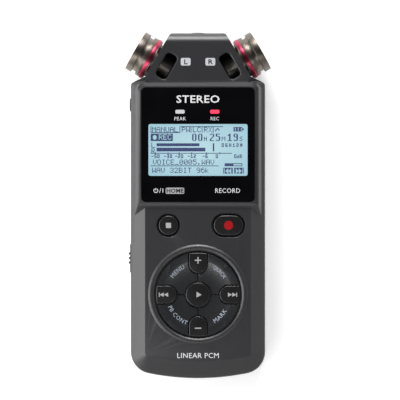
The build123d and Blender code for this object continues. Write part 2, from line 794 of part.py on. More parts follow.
with BuildPart() as key_guide:
    with BuildSketch(Plane.XY.offset(ceiling_z - guide_t)):
        with Locations((0, pad_y)):
            Circle(guide_r)
        with Locations(*stems.values()):
            Circle(stem_r + stem_gap, mode=Mode.SUBTRACT)
    extrude(amount=guide_t)
    with BuildSketch(Plane.XY.offset(ceiling_z)):
        with Locations((0, pad_y)):
            Circle(pad_pocket_r - 0.1)
        with Locations(*stems.values()):
            Circle(stem_r + stem_gap, mode=Mode.SUBTRACT)
    extrude(amount=guide_lift)
save(key_guide, "key_guide")

with BuildPart() as key_switches:
    with BuildSketch(Plane.XY.offset(board_z + board_t)):
        with Locations((stop_key_x, upper_keys_y), (record_key_x, upper_keys_y), *stems.values()):
            Rectangle(switch_size, switch_size)
    extrude(amount=switch_height - 0.5)
    with BuildSketch(Plane.XY.offset(board_z + board_t + switch_height - 0.5)):
        with Locations((stop_key_x, upper_keys_y), (record_key_x, upper_keys_y), *stems.values()):
            Circle(switch_size * 0.28)
    extrude(amount=0.5)
save(key_switches, "key_switches")

# ---- Hold switch on the left side ----
with BuildPart() as hold_switch:
    cap_x = -half - hold_proud
    with BuildSketch(Plane.YZ.offset(cap_x)):
        with Locations((hold_y, port_z)):
            RectangleRounded(hold_length, hold_height, 0.6)
    extrude(amount=hold_t)
    fillet(hold_switch.faces().sort_by(Axis.X)[0].edges(), 0.2)
    with BuildSketch(Plane.YZ.offset(cap_x - hold_rib_rise)):
        with Locations((hold_y, port_z)):
            with GridLocations(hold_rib_pitch, 0, 3, 1):
                Rectangle(hold_rib, hold_height - 1.0)
    extrude(amount=hold_rib_rise + 0.2)
    with BuildSketch(Plane.YZ.offset(cap_x + hold_t)):
        with Locations((hold_y, port_z)):
            Rectangle(*hold_neck)
    extrude(amount=hold_neck_length)
save(hold_switch, "hold_switch")

with BuildPart() as hold_switch_body:
    with BuildSketch(Plane.YZ.offset(-half - hold_proud + hold_t + hold_neck_length + 0.2)):
        with Locations((hold_y + hold_travel / 2, port_z)):
            Rectangle(9.0, 4.0)
    extrude(amount=3.0)
save(hold_switch_body, "hold_switch_body")

# ---- Sockets ----
with BuildPart() as phones_jack:
    with BuildSketch(Plane.YZ.offset(-half - jack_proud)):
        with Locations((phones_y, port_z)):
            Circle(jack_neck_r)
    extrude(amount=wall + jack_proud + 0.5)
    with BuildSketch(Plane.YZ.offset(-half + wall + 0.3)):
        with Locations((phones_y, port_z)):
            Rectangle(jack_body[1], jack_body[2])
    extrude(amount=jack_body[0])
    with BuildSketch(Plane.YZ.offset(-half - jack_proud)):
        with Locations((phones_y, port_z)):
            Circle(jack_bore_r)
    extrude(amount=jack_bore_depth, mode=Mode.SUBTRACT)
save(phones_jack, "phones_jack")

with BuildPart() as line_in_jack:
    with BuildSketch(Plane.XZ.offset(-head_top_y - jack_proud)):
        with Locations((0, mic_z)):
            Circle(jack_neck_r)
    extrude(amount=head_wall + jack_proud + 0.5)
    with BuildSketch(Plane.XZ.offset(-head_top_y + head_wall + 0.3)):
        with Locations((0, mic_z)):
            Rectangle(jack_body[1], jack_body[2])
    extrude(amount=jack_body[0])
    with BuildSketch(Plane.XZ.offset(-head_top_y - jack_proud)):
        with Locations((0, mic_z)):
            Circle(jack_bore_r)
    extrude(amount=jack_bore_depth, mode=Mode.SUBTRACT)
save(line_in_jack, "line_in_jack")

with BuildPart() as usb_socket:
    with BuildSketch(Plane.YZ.offset(half - usb_depth - 0.1)):
        with Locations((usb_y, port_z)):
            SlotOverall(*usb_size)
    extrude(amount=usb_depth)
    with BuildSketch(Plane.YZ.offset(half - usb_depth + 0.5)):
        with Locations((usb_y, port_z)):
            SlotOverall(usb_size[0] - 2 * usb_shell, usb_size[1] - 2 * usb_shell)
    extrude(amount=usb_depth, mode=Mode.SUBTRACT)
    with BuildSketch(Plane.YZ.offset(half - usb_depth)):
        with Locations((usb_y, port_z)):
            Rectangle(6.7, 0.7)
    extrude(amount=usb_depth - 1.2)
save(usb_socket, "usb_socket")

with BuildPart() as card_socket:
    with BuildSketch(Plane.YZ.offset(half - wall - 0.2 - card_body_depth)):
        with Locations((card_y, port_z)):
            Rectangle(card_slot[0] + 2.4, card_slot[1] + 0.8)
    extrude(amount=card_body_depth)
    with BuildSketch(Plane.YZ.offset(half - wall - card_body_depth + 1)):
        with Locations((card_y, port_z)):
            Rectangle(card_slot[0], card_slot[1] - 0.4)
    extrude(amount=card_body_depth, mode=Mode.SUBTRACT)
save(card_socket, "card_socket")

with BuildPart() as card_cover:
    with BuildSketch(Plane.XY.offset(port_z - card_cover_height / 2)):
        with Locations((hinge_x, hinge_y)):
            Circle(card_cover_t / 2)
        with Locations((hinge_x, (hinge_y + card_y + card_cover_length / 2) / 2)):
            Rectangle(card_cover_t, card_y + card_cover_length / 2 - hinge_y)
    extrude(amount=card_cover_height)
    with BuildSketch(Plane.XY.offset(port_z - card_cover_height / 2 - pin_length)):
        with Locations((hinge_x, hinge_y)):
            Circle(pin_r)
    extrude(amount=card_cover_height + 2 * pin_length)
save(card_cover, "card_cover")

# ---- Microphone head: two shells on the parting plane through the microphone axes ----
wall_slope = tan(radians(mic_tilt))


def head_plan(inset=0.0):
    top_x = mic_wall_x - (head_top_y - mic_wall_y) * wall_slope
    with BuildSketch(mode=Mode.PRIVATE) as plan:
        with BuildLine():
            Polyline(
                (-head_foot_x, body_top_y),
                (-head_foot_x, head_foot_y),
                (-top_x, head_top_y),
                (top_x, head_top_y),
                (head_foot_x, head_foot_y),
                (head_foot_x, body_top_y),
                close=True,
            )
        make_face()
        fillet(plan.vertices().group_by(Axis.Y)[-1], head_corner_r)
        if inset:
            offset(amount=-inset, kind=Kind.INTERSECTION, mode=Mode.REPLACE)
    return plan.sketch


def mic_plane(side):
    tilt = radians(mic_tilt)
    return Plane(
        origin=(side * mic_wall_x, mic_wall_y, mic_z),
        x_dir=(side * cos(tilt), sin(tilt), 0),
        z_dir=(0, 0, 1),
    )


def window_plane(side):
    plane = mic_plane(side)
    along = Vector(-side * sin(radians(mic_tilt)), cos(radians(mic_tilt)), 0)
    middle = plane.origin - plane.x_dir * window_depth_in + along * window_shift
    return Plane(origin=(middle.X, middle.Y, head_front_z), x_dir=plane.x_dir, z_dir=(0, 0, 1))


for label, low_z, high_z in (("head_front", mic_z, head_front_z), ("head_rear", head_back_z, mic_z)):
    is_front = label == "head_front"
    with BuildPart() as head_shell:
        with BuildSketch(Plane.XY.offset(low_z)):
            add(head_plan())
        extrude(amount=high_z - low_z)
        # only the top is rounded over; the slanted walls keep their crisp edge
        with BuildSketch(Plane.YZ.offset(-head_foot_x)) as crown:
            with Locations(((body_top_y + head_top_y) / 2, (low_z + high_z) / 2)):
                Rectangle(head_top_y - body_top_y, high_z - low_z)
            top_corners = crown.vertices().group_by(Axis.X)[-1].sort_by(Axis.Y)
            fillet(top_corners[-1 if is_front else 0], head_top_r)
        extrude(amount=2 * head_foot_x, mode=Mode.INTERSECT)
        with BuildSketch(Plane.XY.offset(low_z if is_front else low_z + head_wall)):
            add(head_plan(head_wall))
        extrude(amount=high_z - low_z - head_wall, mode=Mode.SUBTRACT)
        with BuildSketch(Plane.XY.offset(low_z if is_front else low_z + head_wall)):
            with Locations((0, body_top_y)):
                Rectangle(2 * head_foot_x - 4 * head_wall, 4 * head_wall)
        extrude(amount=high_z - low_z - head_wall, mode=Mode.SUBTRACT)
        for side in (-1, 1):
            plane = mic_plane(side)
            across = Plane(origin=plane.origin - plane.x_dir * 3, x_dir=(0, 0, 1), z_dir=plane.x_dir)
            with BuildSketch(across):
                Circle(barrel_r + 0.1)
            extrude(amount=6, mode=Mode.SUBTRACT)
            if is_front:
                with BuildSketch(window_plane(side).offset(-head_wall - 1)):
                    RectangleRounded(window_width, window_length, window_corner_r)
                extrude(amount=head_wall + 2, mode=Mode.SUBTRACT)
                with BuildSketch(window_plane(side)):
                    grow = 2 * window_chamfer
                    RectangleRounded(window_width + grow, window_length + grow, window_corner_r + grow / 2)
                extrude(amount=-window_chamfer, taper=45, mode=Mode.SUBTRACT)
        with BuildSketch(Plane.XZ.offset(-head_top_y - 1)):
            with Locations((0, mic_z)):
                Circle(jack_neck_r + jack_hole_gap)
        extrude(amount=head_wall + 2, mode=Mode.SUBTRACT)
    save(head_shell, label)


# ---- The two microphones: turned rings on one axis, a barrel and a capsule ----
def half_section(side, outline):
    with BuildSketch(mic_plane(side), mode=Mode.PRIVATE) as section:
        with BuildLine():
            Polyline(*outline, close=True)
        make_face()
    return section.sketch


def mic_axis(side):
    plane = mic_plane(side)
    return Axis(plane.origin, plane.x_dir)


def ring_outline(start, end, outer, bore):
    return [
        (start, bore),
        (start, outer - ring_edge),
        (start + ring_edge, outer),
        (end - ring_edge, outer),
        (end, outer - ring_edge),
        (end, bore),
    ]


red_start = base_ring_t
inner_start = red_start + red_ring_t
neck_start = inner_start + inner_ring_t
cap_start = neck_start + neck_t
cap_end = cap_start + cap_t
barrel_bore = barrel_r + turned_gap
for name, side in (("left", -1), ("right", 1)):
    with BuildPart() as base_ring:
        flange_start = red_start - base_flange_t
        outline = [
            (turned_gap, barrel_bore),
            (turned_gap, base_ring_r),
            (flange_start, base_ring_r),
            (flange_start, base_flange_r),
            (red_start, base_flange_r),
            (red_start, barrel_bore),
        ]
        revolve(half_section(side, outline), axis=mic_axis(side))
    save(base_ring, f"{name}_mic_base_ring")

    with BuildPart() as red_ring:
        outline = ring_outline(red_start, inner_start, red_ring_r, barrel_bore)
        revolve(half_section(side, outline), axis=mic_axis(side))
    save(red_ring, f"{name}_mic_red_ring")

    with BuildPart() as mic_cap:
        floor_end = inner_start + 1.0
        outline = [
            (inner_start, barrel_bore),
            (inner_start, inner_ring_r - ring_edge),
            (inner_start + ring_edge, inner_ring_r),
            (neck_start - ring_edge, inner_ring_r),
            (neck_start, inner_ring_r - ring_edge),
            (neck_start, neck_r),
            (cap_start, neck_r),
            (cap_start, cap_r - ring_edge),
            (cap_start + ring_edge, cap_r),
            (cap_end - ring_edge, cap_r),
            (cap_end, cap_r - ring_edge),
            (cap_end, cap_bore_r),
            (floor_end, cap_bore_r),
            (floor_end, barrel_bore),
        ]
        revolve(half_section(side, outline), axis=mic_axis(side))
    save(mic_cap, f"{name}_mic_cap")

    with BuildPart() as mic_barrel:
        outline = [(-barrel_inside, 0), (-barrel_inside, barrel_r), (inner_start, barrel_r), (inner_start, 0)]
        revolve(half_section(side, outline), axis=mic_axis(side))
    save(mic_barrel, f"{name}_mic_barrel")

    with BuildPart() as mic_capsule:
        capsule_end = inner_start + capsule_t
        outline = [(inner_start, 0), (inner_start, barrel_r), (capsule_end, barrel_r), (capsule_end, 0)]
        revolve(half_section(side, outline), axis=mic_axis(side))
    save(mic_capsule, f"{name}_mic_capsule")

    with BuildPart() as mic_grille:
        grille_r = cap_bore_r
        grille_at = cap_end - grille_dome - grille_t - 0.3
        with BuildSketch(mic_plane(side)):
            with BuildLine():
                Polyline(
                    (grille_at + grille_t + grille_dome, 0),
                    (grille_at + grille_dome, 0),
                    (grille_at + grille_dome * 0.75, grille_r / 2),
                    (grille_at, grille_r),
                    (grille_at + grille_t, grille_r),
                    (grille_at + grille_t + grille_dome * 0.75, grille_r / 2),
                    close=True,
                )
            make_face()
        revolve(axis=mic_axis(side))
    save(mic_grille, f"{name}_mic_grille")
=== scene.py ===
import math
import bmesh
import bpy
from mathutils import Matrix, Vector


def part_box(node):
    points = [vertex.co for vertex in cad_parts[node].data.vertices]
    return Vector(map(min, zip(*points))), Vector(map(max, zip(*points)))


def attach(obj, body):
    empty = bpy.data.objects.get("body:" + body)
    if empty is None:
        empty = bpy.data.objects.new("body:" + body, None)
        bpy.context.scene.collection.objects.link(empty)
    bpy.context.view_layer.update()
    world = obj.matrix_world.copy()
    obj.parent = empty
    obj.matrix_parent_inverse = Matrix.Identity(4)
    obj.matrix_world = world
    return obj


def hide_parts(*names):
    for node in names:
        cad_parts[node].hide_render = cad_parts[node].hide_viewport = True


# A handheld stereo recorder on its back, seen from straight above its display side.
# Everything is in metres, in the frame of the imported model; sizes in the dictionaries are millimetres.

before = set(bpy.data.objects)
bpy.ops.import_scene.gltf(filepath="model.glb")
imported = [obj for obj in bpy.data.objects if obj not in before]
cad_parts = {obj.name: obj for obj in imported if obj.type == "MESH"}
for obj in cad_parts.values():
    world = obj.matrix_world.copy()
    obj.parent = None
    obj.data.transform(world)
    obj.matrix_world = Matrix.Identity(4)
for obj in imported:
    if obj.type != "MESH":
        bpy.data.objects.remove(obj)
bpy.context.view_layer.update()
mm = 0.001
print("stage: frame loaded,", len(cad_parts), "nodes")


# the only colour conversion: sRGB hex to linear
def linear(hexColour):
    channels = [int(hexColour[i : i + 2], 16) / 255 for i in (1, 3, 5)]
    return [c / 12.92 if c <= 0.04045 else ((c + 0.055) / 1.055) ** 2.4 for c in channels] + [1.0]


def addNode(tree, kind, settings=None, inputs=None):
    node = tree.nodes.new(kind)
    for name, value in (settings or {}).items():
        setattr(node, name, value)
    for socket, value in (inputs or {}).items():
        if isinstance(value, bpy.types.NodeSocket):
            tree.links.new(value, node.inputs[socket])
        else:
            node.inputs[socket].default_value = value
    return node


def newMaterial(name):
    material = bpy.data.materials.new(name)
    material.use_nodes = True
    tree = material.node_tree
    tree.nodes.clear()
    output = addNode(tree, "ShaderNodeOutputMaterial")
    shader = addNode(tree, "ShaderNodeBsdfPrincipled")
    tree.links.new(shader.outputs[0], output.inputs["Surface"])
    place = addNode(tree, "ShaderNodeTexCoord").outputs["Object"]
    return material, tree, shader, place


# places read from the frame
def middle(name):
    low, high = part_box(name)
    return [(a + b) / 2 / mm for a, b in zip(low, high)]


def top(name):
    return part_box(name)[1][2] / mm


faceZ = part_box("head_front")[1][2] / mm
lensLow, lensHigh = [[c / mm for c in corner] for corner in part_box("display_window")]
lensTop = lensHigh[2]
padX, padY = middle("play_key")[:2]
padTop = top("plus_key")
micZ = middle("left_mic_cap")[2]


# mesh tools
def newPiece(name, bm, material, body, smoothAngle=None):
    mesh = bpy.data.meshes.new(name)
    bm.to_mesh(mesh)
    bm.free()
    piece = bpy.data.objects.new(name, mesh)
    bpy.context.scene.collection.objects.link(piece)
    mesh.materials.append(material)
    if smoothAngle:
        mesh.shade_smooth()
        mesh.set_sharp_from_angle(angle=math.radians(smoothAngle))
    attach(piece, body)
    return piece


def roundEdges(piece, widthMm, segments=2, angle=24):
    bevel = piece.modifiers.new("roundEdges", "BEVEL")
    bevel.width = widthMm * mm
    bevel.segments = segments
    bevel.limit_method = "ANGLE"
    bevel.angle_limit = math.radians(angle)
    bevel.harden_normals = True
    bevel.miter_outer = "MITER_ARC"
    piece.data.shade_smooth()
    piece.data.set_sharp_from_angle(angle=math.radians(angle))


# a copy of a CAD node whose hard edges are given the small radius that a mould leaves
def softenedCopy(node, name, material, body, widthMm, segments=2, angle=24):
    bm = bmesh.new()
    bm.from_mesh(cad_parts[node].data)
    bmesh.ops.remove_doubles(bm, verts=bm.verts, dist=0.002 * mm)
    bmesh.ops.dissolve_limit(bm, angle_limit=math.radians(0.6), verts=bm.verts, edges=bm.edges)
    piece = newPiece(name, bm, material, body)
    roundEdges(piece, widthMm, segments, angle)
    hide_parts(node)
    return piece


def dress(material, *names):
    for name in names:
        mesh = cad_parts[name].data
        mesh.materials.clear()
        mesh.materials.append(material)


# adds a closed block, bevelled on its upright edges, to bm
def addPlate(bm, centre, size, cornerMm=0.0, turnDeg=0.0):
    plate = bmesh.new()
    bmesh.ops.create_cube(plate, size=1.0)
    bmesh.ops.scale(plate, vec=[c * mm for c in size], verts=plate.verts)
    if cornerMm:
        upright = [e for e in plate.edges if abs(e.verts[0].co.z - e.verts[1].co.z) > 0.5 * size[2] * mm]
        bmesh.ops.bevel(plate, geom=upright, offset=cornerMm * mm, segments=5, affect="EDGES",
                        profile=0.5, material=-1)
    turn = Matrix.Rotation(math.radians(turnDeg), 4, "Z")
    place = Matrix.Translation([c * mm for c in centre])
    bmesh.ops.transform(plate, matrix=place @ turn, verts=plate.verts)
    mesh = bpy.data.meshes.new("plate")
    plate.to_mesh(mesh)
    plate.free()
    bm.from_mesh(mesh)


# adds a prism, such as a disc or a triangle pointing along turnDeg
def addPrism(bm, centre, radius, thick, sides, turnDeg=0.0, squash=1.0):
    place = Matrix.Translation([c * mm for c in centre])
    turn = Matrix.Rotation(math.radians(turnDeg), 4, "Z") @ Matrix.Diagonal((squash, 1, 1, 1))
    point = Matrix.Rotation(math.radians(-90), 4, "Z")
    bmesh.ops.create_cone(bm, cap_ends=True, segments=sides, radius1=radius * mm, radius2=radius * mm,
                          depth=thick * mm, matrix=place @ turn @ point)


# adds raised lettering whose capitals are capMm tall, centred on centre
def addText(bm, words, centre, capMm, thickMm=0.04, turnDeg=0.0, widthShare=1.0, bold=0.0, spacing=1.0,
            bendMm=0.0, drop=None):
    curve = bpy.data.curves.new("lettering", "FONT")
    curve.body = words
    curve.align_x = "CENTER"
    curve.resolution_u = 2
    curve.extrude = 0.5
    curve.offset = bold
    curve.space_character = spacing
    writer = bpy.data.objects.new("lettering", curve)
    bpy.context.scene.collection.objects.link(writer)
    bpy.context.view_layer.update()
    mesh = bpy.data.meshes.new_from_object(writer)
    bpy.data.objects.remove(writer)
    letters = bmesh.new()
    letters.from_mesh(mesh)
    bmesh.ops.remove_doubles(letters, verts=letters.verts, dist=1e-5)
    low = min(v.co.y for v in letters.verts)
    high = max(v.co.y for v in letters.verts)
    scale = capMm * mm / (high - low)
    bmesh.ops.translate(letters, vec=(0, -(low + high) / 2, 0), verts=letters.verts)
    bmesh.ops.scale(letters, vec=(scale * widthShare, scale, thickMm * mm), verts=letters.verts)
    if bendMm:  # bent round a centre that lies bendMm below the words, or above them if it is negative
        for vert in letters.verts:
            angle = vert.co.x / (bendMm * mm)
            reach = bendMm * mm + vert.co.y
            vert.co.x = reach * math.sin(angle)
            vert.co.y = reach * math.cos(angle) - bendMm * mm
    turn = Matrix.Rotation(math.radians(turnDeg), 4, "Z")
    place = Matrix.Translation([c * mm for c in centre])
    bmesh.ops.transform(letters, matrix=place @ turn, verts=letters.verts)
    if drop:
        for vert in letters.verts:
            vert.co.z += drop(vert.co) * mm
    bmesh.ops.recalc_face_normals(letters, faces=letters.faces)
    letters.to_mesh(mesh)
    letters.free()
    bm.from_mesh(mesh)


# plastics
plasticSettings = {
    "case": {"dark": "#1b1b1e", "light": "#212124", "roughness": (0.34, 0.46), "grainMm": 0.35, "bump": 0.28},
    "head": {"dark": "#19191c", "light": "#1f1f22", "roughness": (0.34, 0.46), "grainMm": 0.35, "bump": 0.28},
    "key": {"dark": "#0d0d0e", "light": "#111112", "roughness": (0.26, 0.36), "grainMm": 0.30, "bump": 0.08},
    "cornerKey": {"dark": "#1a1b1d", "light": "#1f2022", "roughness": (0.26, 0.36), "grainMm": 0.30,
                  "bump": 0.12},
    "inner": {"dark": "#101011", "light": "#151516", "roughness": (0.5, 0.6), "grainMm": 0.4, "bump": 0.05},
}


# ABS moulded against a spark-eroded tool: a fine even pebble that breaks up the gloss.
# The real grain is about 0.05 mm; it is drawn coarser so that it still shows.
def sparkErodedAbs(kind):
    s = plasticSettings[kind]
    material, tree, shader, place = newMaterial("sparkErodedAbs_" + kind)
    grain = addNode(tree, "ShaderNodeTexNoise", {}, {
        "Vector": place, "Scale": 1 / (s["grainMm"] * mm), "Detail": 3.0, "Roughness": 0.6})
    cloud = addNode(tree, "ShaderNodeTexNoise", {}, {"Vector": place, "Scale": 1 / (14 * mm), "Detail": 2.0})
    colour = addNode(tree, "ShaderNodeMix", {"data_type": "RGBA"}, {
        "Factor": cloud.outputs["Fac"], "A": linear(s["dark"]), "B": linear(s["light"])})
    tree.links.new(colour.outputs["Result"], shader.inputs["Base Color"])
    low, high = s["roughness"]
    gloss = addNode(tree, "ShaderNodeMapRange", {}, {
        "Value": grain.outputs["Fac"], "From Min": 0.3, "From Max": 0.7, "To Min": low, "To Max": high})
    tree.links.new(gloss.outputs["Result"], shader.inputs["Roughness"])
    shader.inputs["Specular IOR Level"].default_value = 0.75  # a little glossier than plain ABS
    bump = addNode(tree, "ShaderNodeBump", {}, {
        "Height": grain.outputs["Fac"], "Strength": s["bump"], "Distance": s["grainMm"] * mm * 0.3})
    tree.links.new(bump.outputs["Normal"], shader.inputs["Normal"])
    shader.inputs["IOR"].default_value = 1.54
    return material


# Acrylic window, printed black from behind: a deep gloss with the faintest waviness.
def backPrintedAcrylic():
    material, tree, shader, place = newMaterial("backPrintedAcrylic")
    wave = addNode(tree, "ShaderNodeTexNoise", {}, {"Vector": place, "Scale": 1 / (9 * mm), "Detail": 1.0})
    gloss = addNode(tree, "ShaderNodeMapRange", {}, {
        "Value": wave.outputs["Fac"], "To Min": 0.05, "To Max": 0.11})
    tree.links.new(gloss.outputs["Result"], shader.inputs["Roughness"])
    tone = addNode(tree, "ShaderNodeMix", {"data_type": "RGBA"}, {
        "Factor": wave.outputs["Fac"], "A": linear("#060607"), "B": linear("#0b0b0d")})
    tree.links.new(tone.outputs["Result"], shader.inputs["Base Color"])
    shader.inputs["IOR"].default_value = 1.49
    return material


# Clear acrylic over the liquid crystal: only its reflection shows, 4 % head on and more with the slant.
def clearAcrylic():
    material, tree, shader, place = newMaterial("clearAcrylic")
    tree.nodes.remove(shader)
    output = next(n for n in tree.nodes if n.type == "OUTPUT_MATERIAL")
    smear = addNode(tree, "ShaderNodeTexNoise", {}, {"Vector": place, "Scale": 1 / (12 * mm), "Detail": 2.0})
    gloss = addNode(tree, "ShaderNodeMapRange", {}, {
        "Value": smear.outputs["Fac"], "To Min": 0.03, "To Max": 0.08})
    mirror = addNode(tree, "ShaderNodeBsdfGlossy", {}, {"Roughness": gloss.outputs["Result"]})
    through = addNode(tree, "ShaderNodeBsdfTransparent", {}, {"Color": (1, 1, 1, 1)})
    slant = addNode(tree, "ShaderNodeLayerWeight", {}, {"Blend": 0.5})
    steep = addNode(tree, "ShaderNodeMath", {"operation": "POWER"}, {0: slant.outputs["Facing"], 1: 5.0})
    mirrored = addNode(tree, "ShaderNodeMath", {"operation": "MULTIPLY_ADD"}, {
        0: steep.outputs["Value"], 1: 0.96, 2: 0.04})
    both = addNode(tree, "ShaderNodeMixShader")
    tree.links.new(mirrored.outputs["Value"], both.inputs[0])
    tree.links.new(through.outputs[0], both.inputs[1])
    tree.links.new(mirror.outputs[0], both.inputs[2])
    tree.links.new(both.outputs[0], output.inputs["Surface"])
    return material


inkSettings = {
    "white": {"ink": "#dcdcdc", "worn": "#cacacc"},
    "grey": {"ink": "#c4c5ca", "worn": "#a9aab0"},
    "steel": {"ink": "#a9b2c0", "worn": "#8d95a3"},
    "silver": {"ink": "#a9a9ac", "worn": "#98989b"},
    "black": {"ink": "#17171a", "worn": "#1d1d21"},
    "red": {"ink": "#a3000f", "worn": "#92000c"},
}


# Screen-printed ink: matt, a little uneven where the squeegee lifted.
def screenPrintedInk(kind):
    s = inkSettings[kind]
    material, tree, shader, place = newMaterial("screenPrintedInk_" + kind)
    speck = addNode(tree, "ShaderNodeTexNoise", {}, {"Vector": place, "Scale": 1 / (0.5 * mm), "Detail": 2.0})
    tone = addNode(tree, "ShaderNodeMix", {"data_type": "RGBA"}, {
        "Factor": speck.outputs["Fac"], "A": linear(s["ink"]), "B": linear(s["worn"])})
    tree.links.new(tone.outputs["Result"], shader.inputs["Base Color"])
    gloss = addNode(tree, "ShaderNodeMapRange", {}, {
        "Value": speck.outputs["Fac"], "To Min": 0.4, "To Max": 0.6})
    tree.links.new(gloss.outputs["Result"], shader.inputs["Roughness"])
    shader.inputs["IOR"].default_value = 1.5
    shader.inputs["Specular IOR Level"].default_value = 0.25
    return material


# metals
metalSettings = {
    "nickelPlatedBrass": {"light": "#857d74", "dark": "#5f5952", "roughness": (0.26, 0.38), "lineMm": 0.12,
                          "bump": 0.10},
    "blastedNickel": {"light": "#efe7dd", "dark": "#d2c9be", "roughness": (0.36, 0.48), "lineMm": 0.25,
                      "bump": 0.20},
    "redAnodised": {"light": "#d04a68", "dark": "#a82c48", "roughness": (0.22, 0.34), "lineMm": 0.15,
                    "bump": 0.08},
    "tinnedSteel": {"light": "#c9c9c8", "dark": "#a3a3a4", "roughness": (0.2, 0.38), "lineMm": 0.3,
                    "bump": 0.04},
    "machinedBrass": {"light": "#cfa557", "dark": "#a87f3a", "roughness": (0.2, 0.34), "lineMm": 0.2,
                      "bump": 0.08},
    "blackenedSteel": {"light": "#3c3c40", "dark": "#26262a", "roughness": (0.28, 0.42), "lineMm": 0.3,
                       "bump": 0.05},
    "springSteel": {"light": "#b9bbbe", "dark": "#8f9194", "roughness": (0.22, 0.36), "lineMm": 0.3,
                    "bump": 0.05},
}


# Metal cut on a lathe or drawn to size: fine parallel tool lines across the given axis.
# Real tool lines are about 0.03 mm apart; they are drawn coarser so that they show.
def toolCutMetal(kind, turnDeg=0.0, suffix=""):
    s = metalSettings[kind]
    material, tree, shader, place = newMaterial(kind + suffix)
    turned = addNode(tree, "ShaderNodeMapping", {}, {
        "Vector": place, "Rotation": (0, 0, math.radians(turnDeg))})
    lines = addNode(tree, "ShaderNodeTexWave", {"wave_type": "BANDS", "bands_direction": "X"}, {
        "Vector": turned.outputs["Vector"], "Scale": 0.314 / (s["lineMm"] * mm), "Distortion": 1.5,
        "Detail": 2.0, "Detail Scale": 2.0})
    cloud = addNode(tree, "ShaderNodeTexNoise", {}, {"Vector": place, "Scale": 1 / (3 * mm), "Detail": 3.0})
    tone = addNode(tree, "ShaderNodeMix", {"data_type": "RGBA"}, {
        "Factor": cloud.outputs["Fac"], "A": linear(s["light"]), "B": linear(s["dark"])})
    tree.links.new(tone.outputs["Result"], shader.inputs["Base Color"])
    low, high = s["roughness"]
    gloss = addNode(tree, "ShaderNodeMapRange", {}, {
        "Value": cloud.outputs["Fac"], "To Min": low, "To Max": high})
    tree.links.new(gloss.outputs["Result"], shader.inputs["Roughness"])
    bump = addNode(tree, "ShaderNodeBump", {}, {
        "Height": lines.outputs["Fac"], "Strength": s["bump"], "Distance": s["lineMm"] * mm * 0.2})
    tree.links.new(bump.outputs["Normal"], shader.inputs["Normal"])
    shader.inputs["Metallic"].default_value = 1.0
    return material


caseAbs = sparkErodedAbs("case")
headAbs = sparkErodedAbs("head")
keyAbs = sparkErodedAbs("key")
cornerKeyAbs = sparkErodedAbs("cornerKey")
innerAbs = sparkErodedAbs("inner")
windowAcrylic = backPrintedAcrylic()
clearPane = clearAcrylic()
ink = {kind: screenPrintedInk(kind) for kind in inkSettings}
tinnedSteel = toolCutMetal("tinnedSteel")
machinedBrass = toolCutMetal("machinedBrass")
blackenedSteel = toolCutMetal("blackenedSteel")
springSteel = toolCutMetal("springSteel")
print("stage: materials made")


# CAD nodes whose shape is right keep it and get their own finish
dress(caseAbs, "rear_case", "battery_door", "card_cover")
dress(keyAbs, "hold_switch")
dress(innerAbs, "key_guide", "hold_switch_body", "battery_cradle")

softSettings = {"case": 0.15, "head": 0.25, "key": 0.13, "cornerKey": 0.16, "segments": 2, "keyAngle": 40}
softenedCopy("front_case", "frontShell", caseAbs, "case", softSettings["case"])
softenedCopy("head_front", "headFrontShell", headAbs, "case", softSettings["head"])
softenedCopy("head_rear", "headRearShell", headAbs, "case", softSettings["head"])
for kind, finish, words in (
        ("key", keyAbs, ("stop", "record", "play", "plus", "minus", "previous", "next")),
        ("cornerKey", cornerKeyAbs, ("menu", "quick", "playback", "mark"))):
    for word in words:
        softenedCopy(word + "_key", word + "KeyCap", finish, word + "_key", softSettings[kind],
                     softSettings["segments"], softSettings["keyAngle"])
print("stage: shells and keys softened")


# display window: black-printed acrylic with the view and indicator openings
windowSettings = {
    "viewMm": (40.2, 21.0), "viewMiddle": (0.0, 22.2), "viewCorner": 0.8, "outerCorner": 1.8, "edge": 0.2,
    "lampSlotCorner": 0.6, "lampSlotGap": 0.02, "glassDepth": 0.55, "paneDepth": 0.3, "paneGap": 0.02,
}


def roundedLoop(centre, size, corner, steps=6):
    points = []
    for quarter, (sx, sy) in enumerate(((1, 1), (-1, 1), (-1, -1), (1, -1))):
        for step in range(steps + 1):
            angle = math.radians(90 * quarter + 90 * step / steps)
            x = centre[0] + sx * (size[0] / 2 - corner) + corner * math.cos(angle)
            y = centre[1] + sy * (size[1] / 2 - corner) + corner * math.sin(angle)
            points.append((x, y))
    return points


# a closed slab from a flat outline with holes in it, filled as a curve and then made a mesh
def cutSlab(loops, lowZ, highZ):
    curve = bpy.data.curves.new("outline", "CURVE")
    curve.dimensions = "2D"
    curve.fill_mode = "BOTH"
    for loop in loops:
        spline = curve.splines.new("POLY")
        spline.points.add(len(loop) - 1)
        for point, (x, y) in zip(spline.points, loop):
            point.co = (x * mm, y * mm, 0, 1)
        spline.use_cyclic_u = True
    curve.extrude = (highZ - lowZ) / 2 * mm
    sheet = bpy.data.objects.new("outline", curve)
    bpy.context.scene.collection.objects.link(sheet)
    bpy.context.view_layer.update()
    mesh = bpy.data.meshes.new_from_object(sheet)
    bpy.data.objects.remove(sheet)
    bm = bmesh.new()
    bm.from_mesh(mesh)
    bmesh.ops.remove_doubles(bm, verts=bm.verts, dist=0.001 * mm)
    bmesh.ops.dissolve_limit(bm, angle_limit=math.radians(0.5), verts=bm.verts, edges=bm.edges)
    bmesh.ops.translate(bm, vec=(0, 0, (lowZ + highZ) / 2 * mm), verts=bm.verts)
    bmesh.ops.recalc_face_normals(bm, faces=bm.faces)
    return bm


